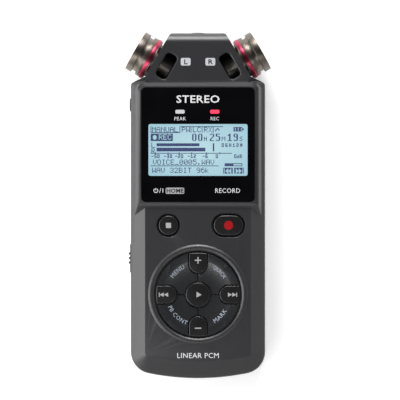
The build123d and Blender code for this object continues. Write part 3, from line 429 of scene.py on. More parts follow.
def makeWindow():
    s = windowSettings
    outer = roundedLoop([(a + b) / 2 for a, b in zip(lensLow, lensHigh)],
                        [b - a for a, b in zip(lensLow, lensHigh)], s["outerCorner"])
    loops = [outer, roundedLoop(s["viewMiddle"], s["viewMm"], s["viewCorner"])]
    for side in ("peak", "record"):
        low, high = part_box(side + "_light_guide")
        size = [(b - a) / mm + 2 * s["lampSlotGap"] for a, b in zip(low, high)]
        loops.append(roundedLoop(middle(side + "_light_guide"), size, s["lampSlotCorner"]))
    bm = cutSlab(loops, lensLow[2], lensTop)
    window = newPiece("windowFrame", bm, windowAcrylic, "case")
    roundEdges(window, s["edge"], 3, 40)
    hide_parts("display_window")
    pane = bmesh.new()
    size = [c - s["paneGap"] for c in s["viewMm"]]
    addPlate(pane, (*s["viewMiddle"], lensTop - s["paneGap"] - s["paneDepth"] / 2), (*size, s["paneDepth"]),
             s["viewCorner"])
    newPiece("displayPane", pane, clearPane, "case")


makeWindow()


# liquid-crystal display: a lit polariser and its dark dots
lcdSettings = {
    "glow": "#c3e6ee", "glowEdge": "#a9d4e2", "strength": 0.95, "dot": "#2b3478", "dotLight": "#3c4688",
    "pitch": 0.3, "dotShare": 0.98, "columns": 128, "rows": 64, "dotThick": 0.02, "reach": (24, 14),
}


# Backlit polariser over the liquid crystal: an even pale glow, a touch stronger in the middle.
def backlitPolariser():
    s = lcdSettings
    material, tree, shader, place = newMaterial("backlitPolariser")
    wide, tall = s["reach"]
    around = addNode(tree, "ShaderNodeMapping", {"vector_type": "POINT"}, {
        "Vector": place, "Location": (0, -windowSettings["viewMiddle"][1] / tall, 0),
        "Scale": (1 / (wide * mm), 1 / (tall * mm), 0)})
    fade = addNode(tree, "ShaderNodeTexGradient", {"gradient_type": "SPHERICAL"}, {
        "Vector": around.outputs["Vector"]})
    tone = addNode(tree, "ShaderNodeMix", {"data_type": "RGBA"}, {
        "Factor": fade.outputs["Fac"], "A": linear(s["glowEdge"]), "B": linear(s["glow"])})
    tree.links.new(tone.outputs["Result"], shader.inputs["Emission Color"])
    shader.inputs["Emission Strength"].default_value = s["strength"]
    shader.inputs["Base Color"].default_value = linear("#20282c")
    shader.inputs["Roughness"].default_value = 0.5
    return material


# Switched dots of the liquid crystal: the glow dimmed to slate blue, uneven from dot to dot.
def darkenedCrystal():
    s = lcdSettings
    material, tree, shader, place = newMaterial("darkenedCrystal")
    uneven = addNode(tree, "ShaderNodeTexNoise", {}, {"Vector": place, "Scale": 1 / (s["pitch"] * 2 * mm)})
    tone = addNode(tree, "ShaderNodeMix", {"data_type": "RGBA"}, {
        "Factor": uneven.outputs["Fac"], "A": linear(s["dot"]), "B": linear(s["dotLight"])})
    tree.links.new(tone.outputs["Result"], shader.inputs["Emission Color"])
    shader.inputs["Emission Strength"].default_value = 0.6
    shader.inputs["Base Color"].default_value = linear("#101426")
    shader.inputs["Roughness"].default_value = 0.6
    return material


# dot letters, one row of dots to a word of the string
glyphs = {
    "0": ".###. #...# #..## #.#.# ##..# #...# .###.", "2": ".###. #...# ....# ...#. ..#.. .#... #####",
    "3": ".###. #...# ....# ..##. ....# #...# .###.", "5": "##### #.... ####. ....# ....# #...# .###.",
    "6": ".###. #.... ####. #...# #...# #...# .###.", "9": ".###. #...# #...# .#### ....# ....# .###.",
    "A": ".###. #...# #...# ##### #...# #...# #...#", "B": "####. #...# #...# ####. #...# #...# ####.",
    "C": ".###. #...# #.... #.... #.... #...# .###.", "E": "##### #.... #.... ####. #.... #.... #####",
    "I": ".###. ..#.. ..#.. ..#.. ..#.. ..#.. .###.", "L": "#.... #.... #.... #.... #.... #.... #####",
    "M": "#...# ##.## #.#.# #.#.# #...# #...# #...#", "N": "#...# ##..# #.#.# #..## #...# #...# #...#",
    "O": ".###. #...# #...# #...# #...# #...# .###.", "P": "####. #...# #...# ####. #.... #.... #....",
    "R": "####. #...# #...# ####. #.#.. #..#. #...#", "T": "##### ..#.. ..#.. ..#.. ..#.. ..#.. ..#..",
    "U": "#...# #...# #...# #...# #...# #...# .###.", "V": "#...# #...# #...# #...# #...# .#.#. ..#..",
    "W": "#...# #...# #...# #.#.# #.#.# ##.## #...#", "X": "#...# .#.#. ..#.. ..#.. ..#.. .#.#. #...#",
    "_": "..... ..... ..... ..... ..... ..... #####", ".": "..... ..... ..... ..... ..... .##.. .##..",
    "k": "#.... #.... #..#. #.#.. ##... #.#.. #..#.",
}
smallDigits = {
    "0": "### #.# #.# #.# ###", "1": ".#. ##. .#. .#. ###", "2": "### ..# ### #.. ###",
    "3": "### ..# ### ..# ###", "5": "### #.. ### ..# ###", "6": "### #.. ### #.# ###",
    "-": "... ... ### ... ...", "H": "#.# #.# ### #.# #.#", "M": "#.# ### ### #.# #.#",
    "d": "..# ..# ### #.# ###", "B": "##. #.# ##. #.# ##.",
}
bigDigits = {
    "0": ".####. ##..## ##..## ##..## ##..## ##..## ##..## ##..## ##..## .####.",
    "1": "..##.. .###.. ####.. ..##.. ..##.. ..##.. ..##.. ..##.. ..##.. ######",
    "2": ".####. ##..## ....## ....## ...##. ..##.. .##... ##.... ##.... ######",
    "5": "###### ##.... ##.... #####. ....## ....## ....## ....## ##..## .####.",
    "9": ".####. ##..## ##..## ##..## .##### ....## ....## ....## ##..## .####.",
    "H": "...... ...... ...... ...... #..#.. #..#.. ####.. #..#.. #..#.. #..#..",
    "M": "...... ...... ...... ...... #...#. ##.##. #.#.#. #...#. #...#. #...#.",
    "S": "...... ...... ...... ...... .###.. #..... .##... ...#.. ...#.. ###...",
}


# the set of switched dots, by column and row from the display's upper left corner
def displayDots():
    dots = set()

    def block(left, upper, right, lower):
        for column in range(left, right):
            for row in range(upper, lower):
                dots.add((column, row))

    def write(words, left, upper, font=glyphs, pitch=6, inverse=False, tall=1):
        for place, letter in enumerate(words):
            if letter == " ":
                continue
            for down, row in enumerate(font[letter].split()):
                for across, dot in enumerate(row):
                    if dot == "#":
                        for extra in range(tall):
                            spot = (left + place * pitch + across, upper + down * tall + extra)
                            dots.discard(spot) if inverse else dots.add(spot)

    # mode tabs and the battery
    write("MANUAL", 2, 1)
    for left in (39, 54, 69, 84):
        block(left, 0, left + 1, 9)
    write("PW", 42, 1)
    write("LC", 57, 1)
    write("RX", 72, 1)
    block(0, 8, 39, 9)
    block(39, 0, 98, 1)
    block(0, 0, 1, 9)
    for step in range(6):
        block(87 + step, 2 + abs(step - 3), 88 + step, 4 + abs(step - 3))
    block(112, 1, 124, 7)
    block(124, 3, 126, 5)
    for column in (114, 118, 122):
        for row in (2, 3, 4, 5):
            dots.discard((column, row))
    # recording badge and the running time
    block(0, 10, 30, 20)
    write("REC", 11, 11, inverse=True)
    for column in range(3, 8):
        for row in range(12, 18):
            if (column - 5) ** 2 + (row - 14.5) ** 2 < 7.5:
                dots.discard((column, row))
    write("00H25M19S", 56, 10, bigDigits, 8)
    # level bars, their peak tick and the time left
    write("L", 1, 22)
    block(8, 23, 66, 27)
    write("R", 1, 30)
    block(8, 29, 74, 34)
    block(84, 23, 86, 34)
    write("06H12M", 96, 23, smallDigits, 5)
    block(0, 36, 110, 37)
    for left, words in ((1, "-50"), (18, "-30"), (33, "-20"), (50, "-12"), (70, "-6"), (88, "0")):
        block(left + 5, 35, left + 6, 38)
        write(words, left, 38, smallDigits, 4)
    write("0dB", 113, 38, smallDigits, 4)
    # file line, format line, progress bar and two state icons
    write("VOICE_0005.WAV", 3, 45)
    block(0, 53, 92, 54)
    write("WAV 32BIT 96k", 2, 56)
    block(100, 50, 124, 51)
    block(100, 50, 101, 54)
    block(123, 50, 124, 54)
    block(100, 53, 124, 54)
    block(101, 51, 112, 53)
    for left in (98, 113):
        block(left, 56, left + 13, 64)
        forward = 1 if left > 100 else -1
        for step in range(4):
            for start in (-4, 0):
                for row in range(-3 + step, 4 - step):
                    dots.discard((left + 6 + forward * (start + step), 60 + row))
        for row in range(57, 64):
            dots.discard((left + 6 + forward * 5, row))
    return dots


def makeDisplay():
    s = lcdSettings
    middleX, middleY = windowSettings["viewMiddle"]
    glassZ = lensTop - windowSettings["glassDepth"]
    bm = bmesh.new()
    size = [c - windowSettings["paneGap"] for c in windowSettings["viewMm"]]
    addPlate(bm, (middleX, middleY, (lensLow[2] + glassZ) / 2), (*size, glassZ - lensLow[2]),
             windowSettings["viewCorner"])
    newPiece("displayPolariser", bm, backlitPolariser(), "case")
    bm = bmesh.new()
    left = middleX - s["pitch"] * s["columns"] / 2
    upper = middleY + s["pitch"] * s["rows"] / 2
    for column, row in sorted(displayDots()):
        spot = [(left + (column + 0.5) * s["pitch"]) * mm, (upper - (row + 0.5) * s["pitch"]) * mm,
                (glassZ + s["dotThick"]) * mm]
        bmesh.ops.create_grid(bm, x_segments=1, y_segments=1, size=s["pitch"] * s["dotShare"] / 2 * mm,
                              matrix=Matrix.Translation(spot))
    newPiece("displayDots", bm, darkenedCrystal(), "case")


makeDisplay()
print("stage: display lit")


# microphones: turned rings, knurled base, woven grille
micSettings = {
    "tiltDeg": 30.0, "axisFoot": (17.6, 58.6), "bore": 4.46,
    "base": {"start": 0.05, "end": 1.45, "r": 7.2, "flangeStart": 1.05, "flangeR": 8.4, "teeth": 90,
             "toothDeep": 0.22},
    "red": {"start": 1.45, "end": 2.95, "r": 8.85},
    "capSteps": [(2.95, 8.6), (4.75, 8.6), (4.75, 7.6), (6.55, 7.6), (6.55, 8.65), (9.2, 8.65)],
    "capBore": 6.9, "capFloor": 3.95, "round": 0.12, "segments": 144,
    "grille": {"pitch": 0.62, "wire": 0.2, "rim": 6.9, "rise": 0.7, "over": 0.04, "at": 8.25},
}


# places a piece made along +X, with its foot at the origin, on one microphone's axis
def micPlace(side):
    s = micSettings
    turn = math.radians(s["tiltDeg"] if side > 0 else 180 - s["tiltDeg"])
    foot = (side * s["axisFoot"][0] * mm, s["axisFoot"][1] * mm, micZ * mm)
    return Matrix.Translation(foot) @ Matrix.Rotation(turn, 4, "Z")


# spins a closed outline of (along, radius) about the X axis and rounds its corners
def turnedRing(outline, side, roundMm, segments):
    bm = bmesh.new()
    verts = [bm.verts.new((along * mm, 0, radius * mm)) for along, radius in outline]
    edges = [bm.edges.new((a, b)) for a, b in zip(verts, verts[1:] + verts[:1])]
    bmesh.ops.spin(bm, geom=verts + edges, cent=(0, 0, 0), axis=(1, 0, 0), angle=2 * math.pi,
                   steps=segments, use_merge=True)
    bmesh.ops.recalc_face_normals(bm, faces=bm.faces)
    if roundMm:
        corners = [e for e in bm.edges if len(e.link_faces) == 2 and e.calc_face_angle() > math.radians(40)
                   and abs(e.verts[0].co.x - e.verts[1].co.x) < 0.001 * mm]
        bmesh.ops.bevel(bm, geom=corners, offset=roundMm * mm, segments=4, affect="EDGES",
                        profile=0.5, material=-1)
    bmesh.ops.transform(bm, matrix=micPlace(side), verts=bm.verts)
    return bm


# a knurled ring: every other step of the spun rim is sunk to leave straight teeth
def knurledBase(side):
    s = micSettings["base"]
    outline = [(s["start"], micSettings["bore"]), (s["start"], s["r"]), (s["flangeStart"], s["r"]),
               (s["flangeStart"], s["flangeR"]), (s["end"], s["flangeR"]), (s["end"], micSettings["bore"])]
    bm = turnedRing(outline, side, 0.0, 2 * s["teeth"])
    back = micPlace(side).inverted()
    for vert in bm.verts:
        local = back @ vert.co
        radius = math.hypot(local.y, local.z) / mm
        step = round(math.atan2(local.z, local.y) / math.pi * s["teeth"])
        if step % 2 and s["r"] - 0.01 < radius < s["r"] + 0.01:
            shrink = 1 - s["toothDeep"] / s["r"]
            vert.co = micPlace(side) @ Vector((local.x, local.y * shrink, local.z * shrink))
    return bm


# wire cloth: a domed square grid cut to a circle, its edges made into wires
def wovenGrille(side):
    s = micSettings["grille"]
    cells = int(2 * s["rim"] / s["pitch"]) + 2
    bm = bmesh.new()
    bmesh.ops.create_grid(bm, x_segments=cells, y_segments=cells, size=cells * s["pitch"] / 2 * mm)
    outside = [f for f in bm.faces if f.calc_center_median().length > (s["rim"] - 0.1) * mm]
    bmesh.ops.delete(bm, geom=outside, context="FACES")
    rimEdges = [v for v in bm.verts if v.is_boundary]
    for vert in rimEdges:
        vert.co *= (s["rim"] - 0.12) * mm / vert.co.length
    for vert in bm.verts:
        share = vert.co.length / (s["rim"] * mm)
        step = round(vert.co.x / s["pitch"] / mm) + round(vert.co.y / s["pitch"] / mm)
        over = s["over"] * (-1) ** step  # wires pass over and under by turns
        vert.co.z = (s["rise"] * (1 - share ** 2) + over) * mm
    bmesh.ops.wireframe(bm, faces=bm.faces, thickness=s["wire"] * mm, use_replace=True, use_boundary=True,
                        use_even_offset=False)
    stand = Matrix.Translation((s["at"] * mm, 0, 0)) @ Matrix.Rotation(math.radians(90), 4, "Y")
    bmesh.ops.transform(bm, matrix=micPlace(side) @ stand, verts=bm.verts)
    bmesh.ops.recalc_face_normals(bm, faces=bm.faces)
    return bm


# Foam behind the wire cloth: dull, dark and open-celled.
def openCellFoam():
    material, tree, shader, place = newMaterial("openCellFoam")
    cells = addNode(tree, "ShaderNodeTexVoronoi", {}, {"Vector": place, "Scale": 1 / (0.5 * mm)})
    tone = addNode(tree, "ShaderNodeMix", {"data_type": "RGBA"}, {
        "Factor": cells.outputs["Distance"], "A": linear("#18181a"), "B": linear("#0b0b0c")})
    tree.links.new(tone.outputs["Result"], shader.inputs["Base Color"])
    bump = addNode(tree, "ShaderNodeBump", {}, {"Height": cells.outputs["Distance"], "Strength": 0.5,
                                                "Distance": 0.2 * mm})
    tree.links.new(bump.outputs["Normal"], shader.inputs["Normal"])
    shader.inputs["Roughness"].default_value = 0.95
    return material


foam = openCellFoam()
for word, side in (("left", -1), ("right", 1)):
    s = micSettings
    turn = -s["tiltDeg"] if side > 0 else s["tiltDeg"]
    nickel = toolCutMetal("nickelPlatedBrass", turn, "_" + word)
    red = toolCutMetal("redAnodised", turn, "_" + word)
    base = newPiece(word + "KnurledRing", knurledBase(side), nickel, "case", 30)
    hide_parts(word + "_mic_base_ring")
    outline = [(s["red"]["start"], s["bore"]), (s["red"]["start"], s["red"]["r"]),
               (s["red"]["end"], s["red"]["r"]), (s["red"]["end"], s["bore"])]
    ring = newPiece(word + "RedRing", turnedRing(outline, side, s["round"], s["segments"]), red, "case",
                    30)
    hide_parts(word + "_mic_red_ring")
    outline = [(s["capSteps"][0][0], s["bore"]), *s["capSteps"], (s["capSteps"][-1][0], s["capBore"]),
               (s["capFloor"], s["capBore"]), (s["capFloor"], s["bore"])]
    cap = newPiece(word + "MicCap", turnedRing(outline, side, s["round"], s["segments"]), nickel, "case",
                   30)
    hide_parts(word + "_mic_cap")
    grille = newPiece(word + "WireCloth", wovenGrille(side), tinnedSteel, "case", 40)
    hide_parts(word + "_mic_grille")
    dress(toolCutMetal("blastedNickel", turn, "_" + word), word + "_mic_barrel")
    dress(foam, word + "_mic_capsule")
print("stage: microphones turned")


# indicator light guides: frosted polycarbonate, one unlit but given a faint painted glow, and one lit
lampSettings = {
    # the peak lamp is off: its faint grey emission is a painted glow, not a lamp
    "peak": {"base": "#b9b9bb", "glow": "#b9b9bb", "strength": 0.12},
    "record": {"base": "#c22a44", "glow": "#ff3b58", "strength": 0.95},
}
lampReach = (2.6, 1.6)  # how far the glow spreads from the middle


# Frosted polycarbonate: milky, with a soft sheen and the lamp's glow strongest in the middle; on the unlit
# guide the faint glow is painted light.
def frostedPolycarbonate(kind):
    s = lampSettings[kind]
    material, tree, shader, place = newMaterial("frostedPolycarbonate_" + kind)
    mist = addNode(tree, "ShaderNodeTexNoise", {}, {"Vector": place, "Scale": 1 / (0.6 * mm), "Detail": 2.0})
    gloss = addNode(tree, "ShaderNodeMapRange", {}, {
        "Value": mist.outputs["Fac"], "To Min": 0.3, "To Max": 0.5})
    tree.links.new(gloss.outputs["Result"], shader.inputs["Roughness"])
    x, y = middle(kind + "_light_guide")[:2]
    wide, tall = lampReach
    around = addNode(tree, "ShaderNodeMapping", {"vector_type": "POINT"}, {
        "Vector": place, "Location": (-x / wide, -y / tall, 0),
        "Scale": (1 / (wide * mm), 1 / (tall * mm), 0)})
    fade = addNode(tree, "ShaderNodeTexGradient", {"gradient_type": "SPHERICAL"}, {
        "Vector": around.outputs["Vector"]})
    tone = addNode(tree, "ShaderNodeMix", {"data_type": "RGBA"}, {
        "Factor": fade.outputs["Fac"], "A": linear(s["base"]), "B": linear(s["glow"])})
    tree.links.new(tone.outputs["Result"], shader.inputs["Emission Color"])
    shader.inputs["Base Color"].default_value = linear(s["base"])
    shader.inputs["Emission Strength"].default_value = s["strength"]
    shader.inputs["IOR"].default_value = 1.58
    return material


for kind in lampSettings:
    dress(frostedPolycarbonate(kind), kind + "_light_guide")


# fittings: tripod insert with its thread, sockets, screws and everything inside
tripodSettings = {
    "outer": 4.4, "minor": 2.6, "major": 3.1, "pitch": 1.27, "deep": 6.5, "full": 7.45, "mouth": 0.5,
    "steps": 72,
}


# a brass insert whose bore carries the ridges of a quarter-inch thread
def makeTripodInsert():
    s = tripodSettings
    x, y = middle("tripod_insert")[:2]
    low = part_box("tripod_insert")[0][2] / mm
    outline = [(s["full"], 0.0), (s["full"], s["outer"]), (0.0, s["outer"]), (0.0, s["major"] + s["mouth"])]
    along = s["mouth"]
    while along < s["deep"] - s["pitch"]:
        outline += [(along, s["minor"]), (along + s["pitch"] / 8, s["minor"]),
                    (along + s["pitch"] / 2, s["major"]), (along + s["pitch"] * 5 / 8, s["major"])]
        along += s["pitch"]
    outline += [(along, s["minor"]), (s["deep"], s["minor"]), (s["deep"], 0.0)]
    bm = bmesh.new()
    verts = [bm.verts.new((radius * mm, 0, up * mm)) for up, radius in outline]
    edges = [bm.edges.new((a, b)) for a, b in zip(verts, verts[1:])]
    bmesh.ops.spin(bm, geom=verts + edges, cent=(0, 0, 0), axis=(0, 0, 1), angle=2 * math.pi,
                   steps=s["steps"], use_merge=True)
    bmesh.ops.remove_doubles(bm, verts=bm.verts, dist=0.001 * mm)
    bmesh.ops.recalc_face_normals(bm, faces=bm.faces)
    bmesh.ops.translate(bm, vec=(x * mm, y * mm, low * mm), verts=bm.verts)
    insert = newPiece("tripodThread", bm, machinedBrass, "case", 30)
    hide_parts("tripod_insert")


makeTripodInsert()


# Glass-fibre board under solder mask: deep green, with copper runs showing through faintly.
def solderMaskedBoard():
    material, tree, shader, place = newMaterial("solderMaskedBoard")
    runs = addNode(tree, "ShaderNodeTexBrick", {}, {
        "Vector": place, "Scale": 1.0, "Brick Width": 6 * mm, "Row Height": 0.8 * mm,
        "Mortar Size": 0.12 * mm,
        "Color1": linear("#0f3d24"), "Color2": linear("#0d3520"), "Mortar": linear("#2b6a45")})
    tree.links.new(runs.outputs["Color"], shader.inputs["Base Color"])
    shader.inputs["Roughness"].default_value = 0.3
    return material


# Printed foil jacket of a dry cell: plain satin grey, with a blue band at its positive end.
def cellJacket():
    material, tree, shader, place = newMaterial("printedCellJacket")
    end = addNode(tree, "ShaderNodeSeparateXYZ", {}, {"Vector": place})
    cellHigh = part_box("left_battery_cell")[1][1]
    band = addNode(tree, "ShaderNodeMath", {"operation": "GREATER_THAN"}, {
        0: end.outputs["Y"], 1: cellHigh - 14 * mm})
    tone = addNode(tree, "ShaderNodeMix", {"data_type": "RGBA"}, {
        "Factor": band.outputs["Value"], "A": linear("#8b8f94"), "B": linear("#3d638c")})
    tree.links.new(tone.outputs["Result"], shader.inputs["Base Color"])
    scuff = addNode(tree, "ShaderNodeTexNoise", {}, {"Vector": place, "Scale": 1 / (4 * mm), "Detail": 4.0})
    gloss = addNode(tree, "ShaderNodeMapRange", {}, {
        "Value": scuff.outputs["Fac"], "To Min": 0.25, "To Max": 0.4})
    tree.links.new(gloss.outputs["Result"], shader.inputs["Roughness"])
    shader.inputs["Metallic"].default_value = 0.3
    return material


# Glass of the liquid-crystal cell, seen only at its edges: smooth and faintly green.
def floatGlass():
    material, tree, shader, place = newMaterial("floatGlass")
    wave = addNode(tree, "ShaderNodeTexNoise", {}, {"Vector": place, "Scale": 1 / (20 * mm)})
    tone = addNode(tree, "ShaderNodeMix", {"data_type": "RGBA"}, {
        "Factor": wave.outputs["Fac"], "A": linear("#9fb4ad"), "B": linear("#aebfb9")})
    tree.links.new(tone.outputs["Result"], shader.inputs["Base Color"])
    shader.inputs["Roughness"].default_value = 0.08
    shader.inputs["IOR"].default_value = 1.52
    return material


# White moulded reflector plastic of the backlight and of the lamps' bodies.
def whitePolycarbonate():
    material, tree, shader, place = newMaterial("whiteMouldedPolycarbonate")
    flow = addNode(tree, "ShaderNodeTexNoise", {}, {"Vector": place, "Scale": 1 / (5 * mm), "Detail": 2.0})
    tone = addNode(tree, "ShaderNodeMix", {"data_type": "RGBA"}, {
        "Factor": flow.outputs["Fac"], "A": linear("#e4e4e0"), "B": linear("#d6d6d2")})
    tree.links.new(tone.outputs["Result"], shader.inputs["Base Color"])
    shader.inputs["Roughness"].default_value = 0.45
    return material


whiteMoulded = whitePolycarbonate()
dress(solderMaskedBoard(), "main_board")
dress(cellJacket(), "left_battery_cell", "right_battery_cell")
dress(floatGlass(), "lcd_glass")
dress(whiteMoulded, "lcd_backlight", "indicator_leds")
dress(innerAbs, "phones_jack", "line_in_jack", "card_socket")
dress(tinnedSteel, "usb_socket", "speaker", "key_switches")
dress(springSteel, "battery_contacts", "battery_springs")
dress(blackenedSteel, "case_screws")
print("stage: fittings dressed")


# printed words and signs
labelSettings = {
    "thick": 0.05, "sink": 0.02,
    "window": [  # words, x, y, capital height, width share, bold, spacing
        ("PEAK", -7.3, 34.9, 1.4, 0.95, 0.0, 1.1), ("REC", 6.8, 34.9, 1.4, 0.95, 0.0, 1.1),
        ("RECORD", 12.0, 5.7, 1.85, 0.95, 0.0, 1.06), ("STEREO", 0.0, 42.8, 3.1, 1.15, 0.015, 1.06),
    ],
    "face": [("LINEAR PCM", 0.0, -61.2, 2.1, 1.0, 0.005, 1.06)],
    "badges": {"x": 5.0, "y": 58.0, "size": (4.0, 3.1), "corner": 0.6, "cap": 2.0},
    "home": {"x": -9.35, "y": 5.65, "size": (7.5, 2.5), "corner": 0.5, "cap": 1.75},
    "power": {"x": -17.1, "y": 5.75, "r": 0.82, "line": 0.26, "start": 125, "sweep": 290, "steps": 28},
    "words": [  # key, words, distance from the pad's centre, way round it, capital height
        ("menu", "MENU", 12.75, 131.5, 1.65), ("quick", "QUICK", 12.75, 46.5, 1.65),
        ("playback", "PB CONT", 12.35, 225.5, 1.6), ("mark", "MARK", 12.6, 315.5, 1.65),
    ],
    "dish": {"outer": 14.2, "inner": 6.4, "depth": 1.0},
    "signs": {"plusY": -22.55, "minusY": -50.1, "skipX": 13.65, "long": 2.65, "line": 0.5, "skip": 1.02,
              "bar": (0.36, 1.75), "play": 1.35, "stop": 2.1, "record": 1.83},
}


def labelPiece(name, ink, body, fill, z):
    bm = bmesh.new()
    fill(bm, z - labelSettings["sink"] + labelSettings["thick"] / 2)
    return newPiece(name, bm, ink, body)


# how far the corner keys' dish lies below their flat band, at one point
def dishDrop(co):
    s = labelSettings["dish"]
    radius = math.hypot(co.x / mm - padX, co.y / mm - padY)
    share = min(max((radius - s["inner"]) / (s["outer"] - s["inner"]), 0), 1)
    return s["depth"] * (share ** 2 - 1)


def makeLabels():
    s = labelSettings
    thick = s["thick"]

    def windowWords(bm, z):
        for words, x, y, cap, wide, bold, spacing in s["window"]:
            addText(bm, words, (x, y, z), cap, thick, widthShare=wide, bold=bold, spacing=spacing)

    def powerSign(bm, z):
        p = s["power"]
        ring = bmesh.new()
        half = p["line"] / 2
        corners = [(-half, -thick / 2), (half, -thick / 2), (half, thick / 2), (-half, thick / 2)]
        face = ring.faces.new([ring.verts.new(((p["r"] + a) * mm, 0, b * mm)) for a, b in corners])
        start = Matrix.Rotation(math.radians(p["start"]), 3, "Z")
        bmesh.ops.rotate(ring, verts=ring.verts, matrix=start)
        bmesh.ops.spin(ring, geom=[face, *face.edges, *face.verts], cent=(0, 0, 0), axis=(0, 0, 1),
                       angle=math.radians(p["sweep"]), steps=p["steps"], use_merge=False)
        bmesh.ops.translate(ring, vec=(p["x"] * mm, p["y"] * mm, z * mm), verts=ring.verts)
        bmesh.ops.recalc_face_normals(ring, faces=ring.faces)
        mesh = bpy.data.meshes.new("ring")
        ring.to_mesh(mesh)
        ring.free()
        bm.from_mesh(mesh)
        addPlate(bm, (p["x"], p["y"] + 0.5, z), (p["line"], 0.95, thick))
        addText(bm, "/", (p["x"] + 1.75, p["y"], z), 1.9, thick)
        addPlate(bm, (p["x"] + 2.85, p["y"], z), (p["line"], 1.7, thick))

    def homePlate(bm, z):
        h = s["home"]
        addPlate(bm, (h["x"], h["y"], z), (*h["size"], thick), h["corner"])

    def homeWord(bm, z):
        h = s["home"]
        addText(bm, "HOME", (h["x"], h["y"], z), h["cap"], thick, widthShare=1.05, bold=0.03, spacing=1.05)

    labelPiece("windowWords", ink["white"], "case", windowWords, lensTop)
    labelPiece("powerSign", ink["white"], "case", powerSign, lensTop)
    labelPiece("homePlate", ink["silver"], "case", homePlate, lensTop)
    labelPiece("homeWord", ink["black"], "case", homeWord, lensTop + thick - s["sink"])

    def badgePlates(bm, z):
        b = s["badges"]
        for side in (-1, 1):
            addPlate(bm, (side * b["x"], b["y"], z), (*b["size"], thick), b["corner"])

    def badgeLetters(bm, z):
        b = s["badges"]
        for side, letter in ((-1, "L"), (1, "R")):
            addText(bm, letter, (side * b["x"], b["y"], z), b["cap"], thick, widthShare=1.15, bold=0.02)

    labelPiece("channelPlates", ink["grey"], "case", badgePlates, faceZ)
    labelPiece("channelLetters", ink["black"], "case", badgeLetters, faceZ + thick - s["sink"])

    def faceWords(bm, z):
        for words, x, y, cap, wide, bold, spacing in s["face"]:
            addText(bm, words, (x, y, z), cap, thick, widthShare=wide, bold=bold, spacing=spacing)

    labelPiece("faceWords", ink["white"], "case", faceWords, faceZ)

    # words round the pad, each bent to the circle it stands on and read from the left
    for key, words, reach, way, cap in s["words"]:
        above = way < 180
        turn = way - 90 if above else way + 90
        spot = (padX + reach * math.cos(math.radians(way)), padY + reach * math.sin(math.radians(way)))
        labelPiece(key + "Word", ink["steel"], key + "_key",
                   lambda bm, z: addText(bm, words, (*spot, z), cap, thick, turnDeg=turn, spacing=1.08,
                                         bendMm=reach if above else -reach, drop=dishDrop),
                   padTop)

    # signs on the keys
    g = s["signs"]

    def skipSign(key, sign):
        def fill(bm, z):
            x, y = sign * g["skipX"], middle(key)[1]
            addPlate(bm, (x + sign * 2.05, y, z), (*g["bar"], thick))
            for place in (-0.95, 0.8):
                addPrism(bm, (x + sign * place, y, z), g["skip"], thick, 3, 90 - 90 * sign, 1.12)
        return fill

    def plusSign(bm, z):
        addPlate(bm, (padX, g["plusY"], z), (g["long"], g["line"], thick))
        addPlate(bm, (padX, g["plusY"], z), (g["line"], g["long"], thick + 0.002))  # just clear of the first

    def minusSign(bm, z):
        addPlate(bm, (padX, g["minusY"], z), (g["long"], g["line"], thick))

    def playSign(bm, z):
        addPrism(bm, (padX + 0.1, padY, z), g["play"], thick, 3, 0, 1.05)

    def stopSign(bm, z):
        addPlate(bm, (*middle("stop_key")[:2], z), (g["stop"], g["stop"], thick), 0.12)

    def recordSign(bm, z):
        addPrism(bm, (*middle("record_key")[:2], z), g["record"], thick, 48)

    for word, colour, fill, height in (
            ("next", "silver", skipSign("next_key", 1), padTop),
            ("previous", "silver", skipSign("previous_key", -1), padTop),
            ("plus", "silver", plusSign, padTop), ("minus", "silver", minusSign, padTop),
            ("play", "silver", playSign, padTop), ("stop", "silver", stopSign, top("stop_key")),
            ("record", "red", recordSign, top("record_key"))):
        labelPiece(word + "Sign", ink[colour], word + "_key", fill, height)


makeLabels()
print("stage: words and signs printed")


# floor, light and camera
setSettings = {
    "floor": "#f6f6f6", "floorRoughness": 0.8, "floorGlow": 0.4, "floorGap": 0.4,
    "zenith": "#141415", "horizon": "#ffffff", "worldStrength": 0.55, "dark": 0.90, "bright": 0.55,
    "cameraDistance": 1.2, "frameMm": 162.6, "centreMm": (0.81, 1.9), "planeMm": 22.0,
    "lamps": [  # name, place, aim, size, watts
        ("leftBox", (-0.68, -0.12, 0.44), (0, 0, 0.01), (0.85, 0.65), 5.8),
        ("topBox", (0.0, 0.80, 0.46), (0, 0.05, 0.01), (0.50, 0.42), 8),
        ("lowBox", (0.25, -0.44, 0.81), (0, 0.03, 0.01), (0.24, 0.24), 0.6),
        ("windowBox", (-0.25, -0.44, 0.81), (0, 0.03, 0.01), (0.24, 0.24), 1.1),
    ],
}


def addLamp(name, place, aim, size, power):
    lamp = bpy.data.lights.new(name, "AREA")
    lamp.shape = "RECTANGLE"
    lamp.size, lamp.size_y = size
    lamp.energy = power
    obj = bpy.data.objects.new(name, lamp)
    bpy.context.scene.collection.objects.link(obj)
    obj.location = place
    obj.rotation_euler = (Vector(aim) - Vector(place)).to_track_quat("-Z", "Y").to_euler()


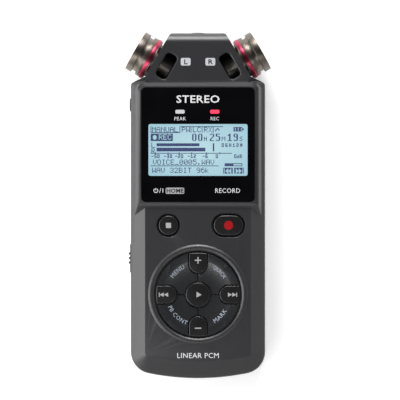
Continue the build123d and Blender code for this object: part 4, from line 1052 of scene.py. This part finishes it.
def makeSet():
    s = setSettings
    bm = bmesh.new()
    bmesh.ops.create_grid(bm, x_segments=1, y_segments=1, size=1.5)
    bmesh.ops.translate(bm, vec=(0, 0, -s["floorGap"] * mm), verts=bm.verts)
    mesh = bpy.data.meshes.new("floor")
    bm.to_mesh(mesh)
    bm.free()
    floor = bpy.data.objects.new("floor", mesh)
    bpy.context.scene.collection.objects.link(floor)
    material, tree, shader, place = newMaterial("paleFloor")
    shader.inputs["Roughness"].default_value = s["floorRoughness"]
    # a pale sweep lit a little from within, as a light table is
    shader.inputs["Base Color"].default_value = linear(s["floor"])
    shader.inputs["Emission Color"].default_value = linear(s["floor"])
    shader.inputs["Emission Strength"].default_value = s["floorGlow"]
    mesh.materials.append(material)
    world = bpy.data.worlds.new("studio")
    bpy.context.scene.world = world
    world.use_nodes = True
    sky = world.node_tree
    background = sky.nodes["Background"]
    upward = addNode(sky, "ShaderNodeTexCoord").outputs["Generated"]
    way = addNode(sky, "ShaderNodeSeparateXYZ", {}, {"Vector": upward})
    climb = addNode(sky, "ShaderNodeMapRange", {"interpolation_type": "SMOOTHSTEP"}, {
        "Value": way.outputs["Z"], "From Min": s["bright"], "From Max": s["dark"]})
    shade = addNode(sky, "ShaderNodeMix", {"data_type": "RGBA"}, {
        "Factor": climb.outputs["Result"], "A": linear(s["horizon"]), "B": linear(s["zenith"])})
    sky.links.new(shade.outputs["Result"], background.inputs["Color"])
    background.inputs["Strength"].default_value = s["worldStrength"]
    for lamp in s["lamps"]:
        addLamp(*lamp)
    camera = bpy.data.cameras.new("camera")
    distance = s["cameraDistance"]
    camera.sensor_width = 36.0
    camera.lens = 36.0 * distance / (s["frameMm"] * mm)
    obj = bpy.data.objects.new("camera", camera)
    bpy.context.scene.collection.objects.link(obj)
    obj.location = (s["centreMm"][0] * mm, s["centreMm"][1] * mm, s["planeMm"] * mm + distance)
    bpy.context.scene.camera = obj
    bpy.context.scene.view_settings.view_transform = "Standard"


makeSet()
print("stage: set built")
